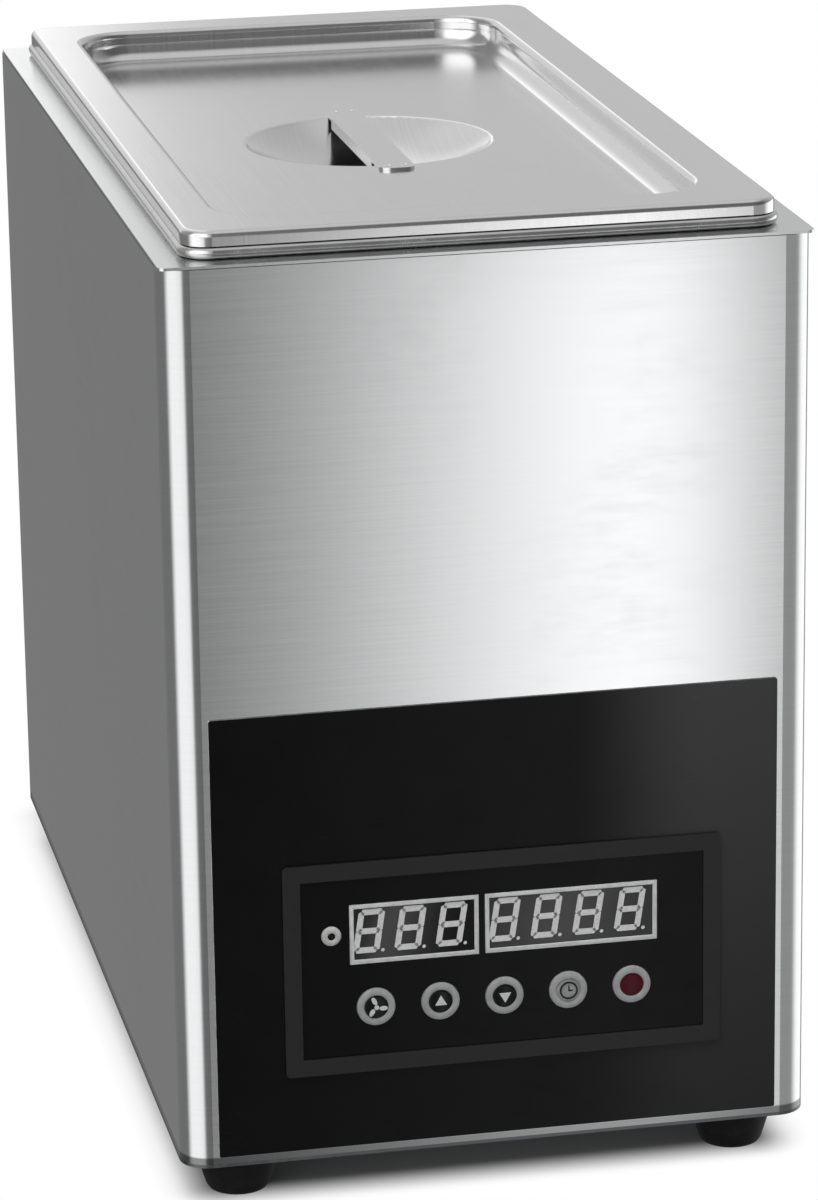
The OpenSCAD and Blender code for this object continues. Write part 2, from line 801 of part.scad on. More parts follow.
// Floor mat: a round-cornered frame of thicker wire with crossing wires welded into it
module basket_floor() {
    frame_z = basket_low + post_r;
    across = floor((basket_d / 2 - basket_r) / wire_pitch);
    along = floor((basket_w / 2 - basket_r) / wire_pitch);
    color("silver") translate([0, mid_y, frame_z]) {
        swept_frame(basket_w, basket_d, basket_r) translate([basket_r - post_r, 0]) circle(post_r);
        for (k = [-across : across]) translate([0, k * wire_pitch, 0]) wire_x(basket_w - 2 * post_r);
        for (k = [-along : along])
            translate([k * wire_pitch, 0, wire_d - weld]) wire_y(basket_d - 2 * post_r);
    }
}

// One long wall mat: upright wires set midway between the floor's wires, and two rails inside them
module long_wall() {
    count = 2 * floor(post_y / wire_pitch);
    for (k = [0 : count - 1]) translate([upright_x, (k - (count - 1) / 2) * wire_pitch, wall_z])
        cylinder(r = wire_r, h = basket_top - wall_z);
    for (h = rail_levels) translate([upright_x - wire_d + weld, 0, basket_low + h * basket_h])
        wire_y(2 * (post_y - post_r - wall_gap));
}

// One end wall mat, which also has the two corner posts
module end_wall() {
    count = 2 * floor(post_x / wire_pitch) + 2;
    for (k = [0 : count - 1]) translate([(k - (count - 1) / 2) * wire_pitch, upright_y, wall_z])
        cylinder(r = wire_r, h = basket_top - wall_z);
    for (s = [-1, 1]) translate([s * post_x, post_y, wall_z])
        cylinder(r = post_r, h = basket_top - wall_z);
    for (h = rail_levels) translate([0, upright_y - wire_d + weld, basket_low + h * basket_h])
        wire_x(2 * post_x);
}

module basket_walls() {
    color("silver") translate([0, mid_y, 0]) for (turn = [0, 180]) rotate([0, 0, turn]) {
        long_wall();
        end_wall();
    }
}

// Flat band round the outside of the walls' top
module basket_band() {
    color("silver") translate([0, mid_y, basket_top - band_h]) linear_extrude(band_h)
        rounded_wall(basket_w, basket_d, basket_r, band_t);
}

// Bent wire grip that stands on the band at one end of the basket
module basket_handle(side) {
    y = mid_y + side * (basket_d / 2 + band_t + handle_r);
    half = handle_w / 2;
    low = basket_top - band_h + 1;
    high = handle_top - handle_r;
    translate([0, y, 0]) rotate([90, 0, 0]) {
        for (s = [-1, 1]) {
            translate([s * half, low, 0]) rotate([-90, 0, 0])
                cylinder(r = handle_r, h = high - handle_bend - low);
            translate([s * (half - handle_bend), high - handle_bend, 0]) rotate([0, 0, s > 0 ? 0 : 90])
                rotate_extrude(angle = 90) translate([handle_bend, 0]) circle(handle_r);
        }
        translate([-(half - handle_bend), high, 0]) rotate([0, 90, 0])
            cylinder(r = handle_r, h = handle_w - 2 * handle_bend);
    }
}

module basket_handles() {
    color("silver") for (side = [-1, 1]) basket_handle(side);
}

// ---- front plate and controller ----

module front_plate() {
    color("#17181a") on_front(0, plate_low + plate_h / 2) linear_extrude(plate_t) difference() {
        rounded_rect(plate_w, plate_h, 1);
        translate([bezel_x, bezel_z - plate_low - plate_h / 2]) square([window_w, window_h], center = true);
    }
}

// Moulded frame: flange on the front plate, housing walls through the window and a ledge for the face
module control_bezel() {
    hole_w = bezel_w - 2 * bezel_border;
    hole_h = bezel_h - 2 * bezel_border;
    housing = 18;
    color("#2c2d30") on_front(bezel_x, bezel_z, plate_t) {
        linear_extrude(bezel_out - plate_t) difference() {
            rounded_rect(bezel_w, bezel_h, 2);
            square([hole_w, hole_h], center = true);
        }
        translate([0, 0, -housing]) linear_extrude(housing) difference() {
            square([hole_w + 4, hole_h + 4], center = true);
            square([hole_w, hole_h], center = true);
        }
        translate([0, 0, face_out - face_t - plate_t - 2]) linear_extrude(2) difference() {
            square([hole_w, hole_h], center = true);
            square([hole_w - 3, hole_h - 3], center = true);
        }
    }
}

// The board's four posts, at the given distance outwards from the front sheet
module board_posts(out) {
    for (sx = [-1, 1], sz = [-1, 1])
        on_front(bezel_x + sx * board_post_x, bezel_z + sz * board_post_z, out) children();
}

module key_places() {
    for (k = [0 : 4]) translate([key_x0 + k * key_pitch, key_z]) children();
}

// Face plate inside the bezel, with openings for keys, displays and lamp, and posts for the board
module control_face() {
    back = face_out - face_t;
    color("#141517") difference() {
        union() {
            on_front(bezel_x, bezel_z, back) linear_extrude(face_t) square([face_w, face_h], center = true);
            board_posts(-board_in) cylinder(r = 3, h = board_in + back);
        }
        on_front(0, 0, back - 1) linear_extrude(face_t + 2) {
            key_places() circle(key_r + 0.3);
            translate([temperature_x, display_z])
                square([temperature_w + 0.4, display_h + 0.4], center = true);
            translate([timer_x, display_z]) square([timer_w + 0.4, display_h + 0.4], center = true);
            translate([lamp_x, lamp_z]) circle(lamp_r + 0.1);
        }
        board_posts(-board_in - 1) cylinder(r = 1.3, h = 9);
    }
}

// Numeric display module: a raised frame round a recessed black screen
module display_module(x, w) {
    border = 1.8;
    frame_out = face_out + 0.3;
    color("lightgray") on_front(x, display_z, -board_in) difference() {
        linear_extrude(board_in + frame_out) square([w, display_h], center = true);
        translate([0, 0, board_in + frame_out - 0.6]) linear_extrude(2)
            square([w - 2 * border, display_h - 2 * border], center = true);
    }
}

module heating_lamp() {
    color("#c9c4b8") on_front(lamp_x, lamp_z, -board_in) {
        cylinder(r = 2.5, h = board_in + 1);
        translate([0, 0, board_in]) cylinder(r = lamp_r, h = face_out);
        translate([0, 0, board_in + face_out - 3]) intersection() {
            sphere(r = 4.4);
            translate([0, 0, 3]) cylinder(r = 3, h = 3);
        }
    }
}

// Key cap: crowned disc, retaining collar behind the face and a stem towards its switch
module key_cap(index) {
    collar_out = face_out - face_t - seam;
    crown_r = 44;
    color("#b9bbbd") on_front(key_x0 + index * key_pitch, key_z) {
        intersection() {
            translate([0, 0, collar_out - 0.1]) cylinder(r = key_r, h = key_out - collar_out + 0.1);
            translate([0, 0, key_out - crown_r]) sphere(r = crown_r, $fn = 96);
        }
        translate([0, 0, collar_out - 1]) cylinder(r = key_r + 1.2, h = 1);
        translate([0, 0, -5]) cylinder(r = 3, h = collar_out + 4.5);
    }
}

module control_board() {
    color("darkgreen") difference() {
        on_front(bezel_x, bezel_z, -board_in - board_t) linear_extrude(board_t)
            square([face_w - 6, face_h - 5], center = true);
        board_posts(-board_in - 3) cylinder(r = 1.7, h = 6);
    }
}

// Tactile switches, one behind each key, their plungers just clear of a fully pressed key
module key_switches() {
    color("#2a2a2c") on_front(0, 0, -board_in) key_places() {
        translate([-3, -3, 0]) cube([6, 6, 3.4]);
        cylinder(r = 1.7, h = board_in - 5 - key_travel - seam);
    }
}

module board_screws() {
    color("lightgray") board_posts(-board_in - board_t) {
        translate([0, 0, -1.8]) cylinder(r = 2.6, h = 1.8);
        cylinder(r = 1.25, h = board_t + 6);
    }
}

module buzzer() {
    color("#202022") on_front(60, 104, -board_in - board_t - 9) difference() {
        cylinder(r = 6, h = 9);
        translate([0, 0, -1]) cylinder(r = 1.1, h = 3);
    }
}

// ---- electrics in the base ----

// Bent tray that lifts the electrics off the base sheet
module component_tray() {
    leg = tray_z - low_z - base_t;
    color("darkgray") translate([0, tray_y, 0]) difference() {
        union() {
            translate([0, 0, tray_z]) linear_extrude(tray_t) rounded_rect(tray_w, tray_d, 4);
            for (s = [-1, 1]) {
                translate([s * (tray_w / 2 - tray_t / 2 - 16), 0, low_z + base_t + leg / 2])
                    cube([tray_t, tray_d - 10, leg], center = true);
                translate([s * (tray_w / 2 - 8), 0, low_z + base_t + tray_t / 2])
                    cube([16 + 2 * tray_t, tray_d - 10, tray_t], center = true);
            }
        }
        for (s = [-1, 1]) translate([s * (tray_w / 2 - 8), 0, tray_z - 1])
            cube([20, tray_d - 60, 8], center = true);
        at_four(tray_w / 2 - 8, tray_d / 2 - 20) translate([0, 0, low_z]) cylinder(r = 2.1, h = 6);
        at_four(tray_w / 2 - 8, tray_d / 2 - 20) translate([0, 0, tray_z - 1]) cylinder(r = 6, h = 6);
    }
}

module tray_screws() {
    seat = low_z + base_t + tray_t;
    color("lightgray") translate([0, tray_y, 0]) at_four(tray_w / 2 - 8, tray_d / 2 - 20) {
        translate([0, 0, seat]) cylinder(r = 3.6, h = 2.4);
        translate([0, 0, low_z - 0.5]) cylinder(r = 1.95, h = seat - low_z + 0.5);
    }
}

// Control transformer: laminated core with a taped coil and two foot lugs
module transformer() {
    seat = tray_z + tray_t;
    color("#5c5f63") translate([-58, tray_y - 40, seat]) {
        difference() {
            translate([0, 0, 17]) cube([42, 20, 34], center = true);
            for (s = [-1, 1]) translate([s * 11, 0, 17]) cube([8, 30, 20], center = true);
        }
        translate([0, 0, 17]) cube([29.6, 34, 19.6], center = true);
        for (s = [-1, 1]) difference() {
            translate([s * 25, 0, 0.6]) cube([10, 12, 1.2], center = true);
            translate([s * 26, 0, -1]) cylinder(r = 1.8, h = 4);
        }
    }
}

// Finned aluminium block under the relay
module relay_heatsink() {
    seat = tray_z + tray_t;
    color("lightgray") translate([10, tray_y + 20, seat]) {
        translate([0, 0, 20]) cube([50, 62, 5], center = true);
        for (k = [-4 : 4]) translate([k * 6, 0, 9]) cube([1.6, 62, 18], center = true);
    }
}

// Solid-state relay with a screw terminal at each corner
module power_relay() {
    seat = tray_z + tray_t + 22.5;
    color("#e6e2d6") translate([10, tray_y + 20, seat]) {
        difference() {
            translate([0, 0, 11]) cube([44, 58, 22], center = true);
            at_four(14, 22) translate([0, 0, 19]) cube([12, 12, 8], center = true);
            for (s = [-1, 1]) translate([0, s * 25, -1]) cylinder(r = 2.2, h = 30);
        }
        at_four(14, 22) translate([0, 0, 15]) cylinder(r = 3.4, h = 2.5);
    }
}

// Four-pole mains terminal strip
module terminal_block() {
    seat = tray_z + tray_t;
    color("ivory") translate([-52, tray_y + 45, seat]) difference() {
        union() {
            translate([-24, -9, 0]) cube([48, 18, 7]);
            for (k = [0 : 3]) translate([-22.5 + k * 12, -7, 7]) cube([9, 14, 10]);
        }
        for (k = [0 : 3]) translate([-18 + k * 12, 0, 0]) {
            translate([0, 0, 12]) cylinder(r = 2.6, h = 8);
            translate([0, -15, 10]) rotate([-90, 0, 0]) cylinder(r = 2.4, h = 30);
        }
    }
}

// ---- mains gland and earth stud ----

// Gland body: threaded neck through the panel, hexagon and a neck for the cap
module cable_gland() {
    color("#202123") on_back(gland_x, gland_z) difference() {
        union() {
            translate([0, 0, -11]) cylinder(r = 8, h = 12);
            hex_prism(22, 6);
            translate([0, 0, 5]) cylinder(r = 7.6, h = 11);
        }
        translate([0, 0, -12]) cylinder(r = gland_bore_r, h = 40);
    }
}

// Domed clamping cap with grip flats
module gland_cap() {
    color("#202123") on_back(gland_x, gland_z, 6.3) difference() {
        intersection() {
            hex_prism(21, 16);
            cylinder(r1 = 20, r2 = 7.5, h = 16.5);
        }
        translate([0, 0, -1]) cylinder(r = 7.65, h = 11);
        translate([0, 0, -1]) cylinder(r = gland_bore_r + 0.4, h = 20);
    }
}

module gland_locknut() {
    color("#202123") on_back(gland_x, gland_z, -sheet - 5) hex_nut(22, 5, 8.05);
}

// Stud with a plain free end for a ring terminal and a thinner neck through its two nuts
module earth_stud() {
    color("gold") on_back(earth_x, earth_z) {
        translate([0, 0, -9]) cylinder(r = earth_neck_r, h = 9 + earth_nut_h);
        translate([0, 0, earth_nut_h]) cylinder(r = 3, h = 13);
    }
}

module earth_nuts() {
    color("gold") on_back(earth_x, earth_z) {
        translate([0, 0, -sheet - earth_nut_h]) hex_nut(10, earth_nut_h, earth_neck_r + 0.02);
        hex_nut(10, earth_nut_h, earth_neck_r + 0.02);
    }
}

cabinet_wrap();
top_deck();
back_panel();
base_plate();
foot(-1, -1);  // foot_front_left
foot(1, -1);  // foot_front_right
foot(-1, 1);  // foot_back_left
foot(1, 1);  // foot_back_right
foot_screws();
foot_nuts();
back_screws();
water_tank();
heater_guard();
heating_element();
heater_seals();
heater_nuts();
temperature_probe();
probe_nut();
dry_boil_thermostat();
drain_pipe();
pipe_locknut();
valve_body();
valve_end();
drain_ball();
drain_stem();
drain_lever();
lever_grip();
lever_nut();
lid_shell();
lid_strap();
basket_floor();
basket_walls();
basket_band();
basket_handles();
front_plate();
control_bezel();
control_face();
display_module(temperature_x, temperature_w);  // temperature_display
display_module(timer_x, timer_w);  // timer_display
heating_lamp();
key_cap(0);  // key_settings
key_cap(1);  // key_up
key_cap(2);  // key_down
key_cap(3);  // key_timer
key_cap(4);  // key_power
control_board();
key_switches();
board_screws();
buzzer();
component_tray();
tray_screws();
transformer();
power_relay();
relay_heatsink();
terminal_block();
cable_gland();
gland_cap();
gland_locknut();
earth_stud();
earth_nuts();
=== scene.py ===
import math

import bmesh
import bpy
from mathutils import Matrix, Vector


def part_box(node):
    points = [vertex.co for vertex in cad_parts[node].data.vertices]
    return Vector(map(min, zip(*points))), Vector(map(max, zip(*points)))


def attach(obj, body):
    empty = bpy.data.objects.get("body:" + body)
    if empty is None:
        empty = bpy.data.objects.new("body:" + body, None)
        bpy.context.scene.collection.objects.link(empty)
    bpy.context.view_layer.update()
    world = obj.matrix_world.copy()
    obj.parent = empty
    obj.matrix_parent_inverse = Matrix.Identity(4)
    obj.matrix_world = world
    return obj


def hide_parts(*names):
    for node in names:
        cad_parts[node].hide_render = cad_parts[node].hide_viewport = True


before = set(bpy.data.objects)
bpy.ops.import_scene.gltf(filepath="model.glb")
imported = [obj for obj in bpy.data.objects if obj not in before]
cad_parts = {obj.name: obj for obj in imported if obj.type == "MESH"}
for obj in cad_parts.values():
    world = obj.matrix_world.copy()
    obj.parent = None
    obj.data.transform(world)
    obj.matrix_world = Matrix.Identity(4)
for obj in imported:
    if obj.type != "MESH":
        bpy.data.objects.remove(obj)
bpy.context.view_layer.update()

MM = 0.001

WELD = 0.002 * MM                     # points nearer than this are one point
SMOOTH_UNDER = math.radians(32)       # edges that turn by less are shaded smooth
ROUND_OVER = math.radians(40)         # edges that turn by more are rounded
FACING_FRONT = (math.pi / 2, 0, 0)    # turn that lays a prism's axis along Y


# ---- modelling by hand ----

def deselect():
    bpy.ops.object.select_all(action="DESELECT")


def pick(piece):
    """Makes one object the only selected and active one."""
    deselect()
    piece.select_set(True)
    bpy.context.view_layer.objects.active = piece
    return piece


def settle(name):
    """Names the new primitive and moves its place, turn and size into its mesh."""
    piece = bpy.context.object
    piece.name = name
    piece.data.name = name
    pick(piece)
    bpy.ops.object.transform_apply(location=True, rotation=True, scale=True)
    return piece


def block(name, low, high):
    """Box between two corners, a start for shaping."""
    low, high = Vector(low), Vector(high)
    deselect()
    bpy.ops.mesh.primitive_cube_add(size=1, location=(low + high) / 2)
    bpy.context.object.scale = high - low
    return settle(name)


def prism(name, sides, radius, depth, place, turn=(0, 0, 0)):
    """Regular prism of that many sides, its axis along Z before the turn."""
    deselect()
    bpy.ops.mesh.primitive_cylinder_add(
        vertices=sides, radius=radius, depth=depth, location=place, rotation=turn)
    return settle(name)


def edit(piece):
    pick(piece)
    bpy.ops.object.mode_set(mode="EDIT")
    bpy.ops.mesh.select_mode(type="FACE")
    bpy.ops.mesh.select_all(action="DESELECT")


def leave():
    bpy.ops.object.mode_set(mode="OBJECT")


def choose_faces(piece, wanted):
    """In edit mode, selects only the faces for which wanted(middle, normal) holds."""
    bpy.ops.mesh.select_all(action="DESELECT")
    mesh = bmesh.from_edit_mesh(piece.data)
    for face in mesh.faces:
        if wanted(face.calc_center_median(), face.normal):
            face.select_set(True)
    bmesh.update_edit_mesh(piece.data)


def choose_points(piece, wanted):
    """In edit mode, selects only the vertices whose place is wanted."""
    bpy.ops.mesh.select_mode(type="VERT")
    bpy.ops.mesh.select_all(action="DESELECT")
    mesh = bmesh.from_edit_mesh(piece.data)
    for vertex in mesh.verts:
        vertex.select_set(wanted(vertex.co))
    bmesh.update_edit_mesh(piece.data)


def give(piece, kind, **settings):
    """Adds one modifier and applies it."""
    pick(piece)
    modifier = piece.modifiers.new(kind.lower(), kind)
    for name, value in settings.items():
        setattr(modifier, name, value)
    bpy.ops.object.modifier_apply(modifier=modifier.name)
    return piece


def merge_points():
    """In edit mode, selects everything and merges the points that lie on one another."""
    bpy.ops.mesh.select_all(action="SELECT")
    bpy.ops.mesh.remove_doubles(threshold=WELD)


def smooth(piece):
    pick(piece)
    bpy.ops.object.shade_smooth_by_angle(angle=SMOOTH_UNDER)
    return piece


def round_edges(piece, width, segments=2):
    """Rounds every sharp edge, and shades the rest smooth."""
    give(piece, "BEVEL", width=width, segments=segments, limit_method="ANGLE",
         angle_limit=ROUND_OVER, use_clamp_overlap=True)
    return smooth(piece)


def draw_line(name, points):
    """Line of vertices, drawn by extruding one vertex from point to point."""
    points = [Vector(point) for point in points]
    deselect()
    bpy.ops.mesh.primitive_plane_add(size=MM, location=points[0])
    piece = settle(name)
    pick(piece)
    bpy.ops.object.mode_set(mode="EDIT")
    bpy.ops.mesh.select_mode(type="VERT")
    bpy.ops.mesh.select_all(action="SELECT")
    bpy.ops.mesh.merge(type="CENTER")
    for start, end in zip(points, points[1:]):
        bpy.ops.mesh.extrude_vertices_move(TRANSFORM_OT_translate={"value": end - start})
    leave()
    return piece


def spun(name, profile, middle, axis, steps=64):
    """Turned piece. The profile's points are (radius, distance along the axis), both in metres."""
    middle, axis = Vector(middle), Vector(axis).normalized()
    outward = axis.orthogonal().normalized()
    piece = draw_line(name, [middle + outward * r + axis * h for r, h in profile])
    bpy.ops.object.mode_set(mode="EDIT")
    bpy.ops.mesh.select_all(action="SELECT")
    bpy.ops.mesh.spin(steps=steps, angle=math.tau, center=middle, axis=axis)
    merge_points()
    bpy.ops.mesh.normals_make_consistent(inside=False)
    leave()
    return smooth(piece)


def joined(name, pieces):
    """Several pieces as one."""
    deselect()
    for piece in pieces:
        piece.select_set(True)
    bpy.context.view_layer.objects.active = pieces[0]
    bpy.ops.object.join()
    pieces[0].name = name
    pieces[0].data.name = name
    return pieces[0]


def copied(piece, offset):
    """A copy with its own mesh, moved by the offset."""
    pick(piece)
    bpy.ops.object.duplicate(linked=False)
    twin = bpy.context.object
    twin.data.transform(Matrix.Translation(offset))
    return twin


def paint(piece, *finishes):
    """Gives the piece its finishes, in the order of its material slots."""
    piece.data.materials.clear()
    for finish in finishes:
        piece.data.materials.append(finish)
    return piece


def paint_where(piece, index, wanted):
    """Uses finish number `index` on the faces for which wanted(middle, normal) holds."""
    for face in piece.data.polygons:
        if wanted(face.center, face.normal):
            face.material_index = index


def mount(piece, body, slot, *nodes):
    """Rides the piece on a body and hides the CAD nodes it stands for; the slot is not used."""
    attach(piece, body)
    if nodes:
        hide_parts(*nodes)
    return piece


def merged_copy(node, name):
    """Closed copy of a CAD node's mesh, without its stored normals, ready for shaping."""
    deselect()
    piece = bpy.data.objects.new(name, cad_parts[node].data.copy())
    bpy.context.collection.objects.link(piece)
    edit(piece)
    merge_points()
    leave()
    bpy.ops.mesh.customdata_custom_splitnormals_clear()
    return smooth(piece)


def middle_of(node):
    low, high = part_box(node)
    return (Vector(low) + Vector(high)) / 2


# ---- node building ----

def add_node(tree, kind, links=(), **inputs):
    """New node; links maps its input names to sockets, inputs its input names to values."""
    made = tree.nodes.new(kind)
    for name, value in inputs.items():
        made.inputs[name.replace("_", " ")].default_value = value
    for name, socket in dict(links).items():
        tree.links.new(socket, made.inputs[name])
    return made


def math_node(tree, operation, first, second=0.0, clamp=False):
    made = tree.nodes.new("ShaderNodeMath")
    made.operation = operation
    made.use_clamp = clamp
    for slot, value in zip(made.inputs, (first, second)):
        if isinstance(value, (int, float)):
            slot.default_value = value
        else:
            tree.links.new(value, slot)
    return made.outputs[0]


def plus(tree, first, second):
    return math_node(tree, "ADD", first, second)


def times(tree, first, second):
    return math_node(tree, "MULTIPLY", first, second)


def axes_of(tree, vector):
    """The vector's X, Y and Z."""
    made = tree.nodes.new("ShaderNodeSeparateXYZ")
    tree.links.new(vector, made.inputs[0])
    return made.outputs


def scaled(tree, vector, factors):
    """The vector times a vector of factors, which is a plain tuple or a socket."""
    made = tree.nodes.new("ShaderNodeVectorMath")
    made.operation = "MULTIPLY"
    tree.links.new(vector, made.inputs[0])
    if isinstance(factors, tuple):
        made.inputs[1].default_value = factors
    else:
        tree.links.new(factors, made.inputs[1])
    return made.outputs[0]


def noise(tree, vector, scale, detail=3.0, roughness=0.55):
    made = add_node(tree, "ShaderNodeTexNoise", {"Vector": vector},
                    Detail=detail, Roughness=roughness)
    if isinstance(scale, (int, float)):
        made.inputs["Scale"].default_value = scale
    else:
        tree.links.new(scale, made.inputs["Scale"])
    return made.outputs["Fac"]


def mapped(tree, value, low, high, to_low=0.0, to_high=1.0):
    made = add_node(tree, "ShaderNodeMapRange", {"Value": value})
    made.interpolation_type = "SMOOTHSTEP"
    for name, number in (("From Min", low), ("From Max", high), ("To Min", to_low), ("To Max", to_high)):
        made.inputs[name].default_value = number
    return made.outputs["Result"]


def mapped_linear(tree, value, low, high):
    made = add_node(tree, "ShaderNodeMapRange", {"Value": value})
    made.inputs["From Min"].default_value = low
    made.inputs["From Max"].default_value = high
    return made.outputs["Result"]


def mixed(tree, factor, first, second):
    """Colour mix; each of the two is a colour or a socket."""
    made = tree.nodes.new("ShaderNodeMix")
    made.data_type = "RGBA"
    tree.links.new(factor, made.inputs[0])
    for slot, value in ((made.inputs[6], first), (made.inputs[7], second)):
        if isinstance(value, (tuple, list)):
            slot.default_value = (*value, 1.0)
        else:
            tree.links.new(value, slot)
    return made.outputs[2]


def new_group(name, inputs, outputs):
    """Node group with named sockets; inputs are (name, kind, value), outputs are (name, kind)."""
    tree = bpy.data.node_groups.new(name, "ShaderNodeTree")
    for label, kind, value in inputs:
        socket = tree.interface.new_socket(name=label, in_out="INPUT", socket_type=kind)
        if value is not None:
            socket.default_value = value
    for label, kind in outputs:
        tree.interface.new_socket(name=label, in_out="OUTPUT", socket_type=kind)
    return tree, tree.nodes.new("NodeGroupInput").outputs, tree.nodes.new("NodeGroupOutput").inputs


NUMBER, VECTOR = "NodeSocketFloat", "NodeSocketVector"


def make_brushed_lines():
    """Fine parallel lines left by a brushing belt: the stretch is small along them, large across."""
    tree, given, out = new_group(
        "brushed_lines", [("Vector", VECTOR, None), ("Stretch", VECTOR, (20.0, 20.0, 3000.0))],
        [("Height", NUMBER), ("Tone", NUMBER)])
    along = scaled(tree, given["Vector"], given["Stretch"])
    fine = noise(tree, along, 1.0, 3.0, 0.7)
    broad = noise(tree, along, 0.12, 2.0, 0.5)
    height = plus(tree, times(tree, fine, 0.92), times(tree, broad, 0.08))
    tree.links.new(height, out["Height"])
    tree.links.new(mapped(tree, height, 0.36, 0.64), out["Tone"])
    return tree


def make_handling_marks():
    """Soft wipe marks and finger smudges of about the given size."""
    tree, given, out = new_group(
        "handling_marks", [("Vector", VECTOR, None), ("Scale", NUMBER, 14.0)], [("Mask", NUMBER)])
    cloud = noise(tree, given["Vector"], given["Scale"], 4.0, 0.6)
    patches = mapped(tree, cloud, 0.46, 0.68)
    streaks = noise(tree, scaled(tree, given["Vector"], (40.0, 40.0, 150.0)), 1.0, 3.0, 0.65)
    tree.links.new(times(tree, patches, mapped(tree, streaks, 0.35, 0.7)), out["Mask"])
    return tree


def make_edge_wear():
    """Where a rounded edge of about the given width has rubbed bright, in broken stretches."""
    tree, given, out = new_group(
        "edge_wear", [("Vector", VECTOR, None), ("Width", NUMBER, 0.6 * MM)], [("Mask", NUMBER)])
    rounded = add_node(tree, "ShaderNodeBevel", {"Radius": given["Width"]})
    rounded.samples = 4
    flat = tree.nodes.new("ShaderNodeNewGeometry")
    facing = tree.nodes.new("ShaderNodeVectorMath")
    facing.operation = "DOT_PRODUCT"
    tree.links.new(rounded.outputs["Normal"], facing.inputs[0])
    tree.links.new(flat.outputs["Normal"], facing.inputs[1])
    edge = mapped(tree, facing.outputs["Value"], 0.99, 0.80)
    broken = mapped(tree, noise(tree, given["Vector"], 180.0, 4.0, 0.7), 0.42, 0.62)
    tree.links.new(times(tree, edge, broken), out["Mask"])
    return tree


def make_moulded_grain():
    """Fine leathery texture of a moulded plastic surface."""
    tree, given, out = new_group(
        "moulded_grain", [("Vector", VECTOR, None), ("Scale", NUMBER, 1800.0)],
        [("Height", NUMBER), ("Tone", NUMBER)])
    cells = tree.nodes.new("ShaderNodeTexVoronoi")
    tree.links.new(given["Vector"], cells.inputs["Vector"])
    tree.links.new(given["Scale"], cells.inputs["Scale"])
    cloud = noise(tree, given["Vector"], 260.0, 3.0, 0.6)
    height = plus(tree, times(tree, cells.outputs["Distance"], 0.6), times(tree, cloud, 0.4))
    tree.links.new(height, out["Height"])
    tree.links.new(mapped(tree, cloud, 0.35, 0.65), out["Tone"])
    return tree


def make_water_marks():
    """Scale left by boiling water: dried drops and a band under the water line."""
    tree, given, out = new_group(
        "water_marks", [("Vector", VECTOR, None), ("Level", NUMBER, 0.36)], [("Mask", NUMBER)])
    height = axes_of(tree, given["Vector"])["Z"]
    wavy = times(tree, noise(tree, given["Vector"], 30.0, 2.0), 0.006)
    depth = math_node(tree, "SUBTRACT", plus(tree, height, wavy), given["Level"])
    away = times(tree, math_node(tree, "ABSOLUTE", depth), 160.0)
    band = math_node(tree, "SUBTRACT", 1.0, away, clamp=True)
    drops = mapped(tree, noise(tree, given["Vector"], 240.0, 3.0, 0.6), 0.58, 0.72)
    clouds = mapped(tree, noise(tree, given["Vector"], 18.0, 4.0, 0.6), 0.45, 0.7)
    marks = math_node(tree, "ADD", times(tree, band, 0.5), times(tree, drops, clouds), clamp=True)
    tree.links.new(marks, out["Mask"])
    return tree


BRUSHED_LINES = make_brushed_lines()
HANDLING_MARKS = make_handling_marks()
EDGE_WEAR = make_edge_wear()
MOULDED_GRAIN = make_moulded_grain()
WATER_MARKS = make_water_marks()


def dimmed(colour, factor):
    return tuple(part * factor for part in colour)


def lifted(colour, light):
    return tuple(min(1.0, part + light) for part in colour)


class Finish:
    """A material under construction: its tree, its shader and the Object coordinates."""

    def __init__(self, name, **shader):
        self.material = bpy.data.materials.new(name)
        self.material.use_nodes = True
        self.tree = self.material.node_tree
        self.shader = self.tree.nodes["Principled BSDF"]
        for socket, value in shader.items():
            self.shader.inputs[socket.replace("_", " ")].default_value = value
        self.place = self.tree.nodes.new("ShaderNodeTexCoord").outputs["Object"]

    def group(self, tree, **inputs):
        made = self.tree.nodes.new("ShaderNodeGroup")
        made.node_tree = tree
        self.tree.links.new(self.place, made.inputs["Vector"])
        for name, value in inputs.items():
            made.inputs[name].default_value = value
        return made.outputs

    def set(self, socket, source):
        self.tree.links.new(source, self.shader.inputs[socket])

    def bump(self, height, distance):
        made = add_node(self.tree, "ShaderNodeBump", {"Height": height}, Strength=1.0, Distance=distance)
        self.set("Normal", made.outputs["Normal"])


def brushed_steel(name, colour, roughness, stretch, painted_shade_height=None):
    """Belt-brushed stainless sheet with faint wipe marks, darkened below a given height as a painted shade
    along its foot.
    """
    finish = Finish(name, Metallic=1.0)
    tree = finish.tree
    lines = finish.group(BRUSHED_LINES, Stretch=stretch)
    smudges = finish.group(HANDLING_MARKS, Scale=11.0)
    tone = mixed(tree, lines["Tone"], dimmed(colour, 0.95), colour)
    tone = mixed(tree, times(tree, smudges["Mask"], 0.3), tone, dimmed(colour, 0.9))
    if painted_shade_height:
        # Painted shade: below the height the colour drops to 0.3 of itself, along the foot of the sheet.
        below = mapped(tree, axes_of(tree, finish.place)["Z"], painted_shade_height, painted_shade_height - MM)
        tone = mixed(tree, below, tone, dimmed(colour, 0.3))
    finish.set("Base Color", tone)
    rough = plus(tree, times(tree, lines["Tone"], 0.05), roughness)
    finish.set("Roughness", plus(tree, rough, times(tree, smudges["Mask"], 0.03)))
    finish.bump(lines["Height"], 0.003 * MM)
    return finish.material


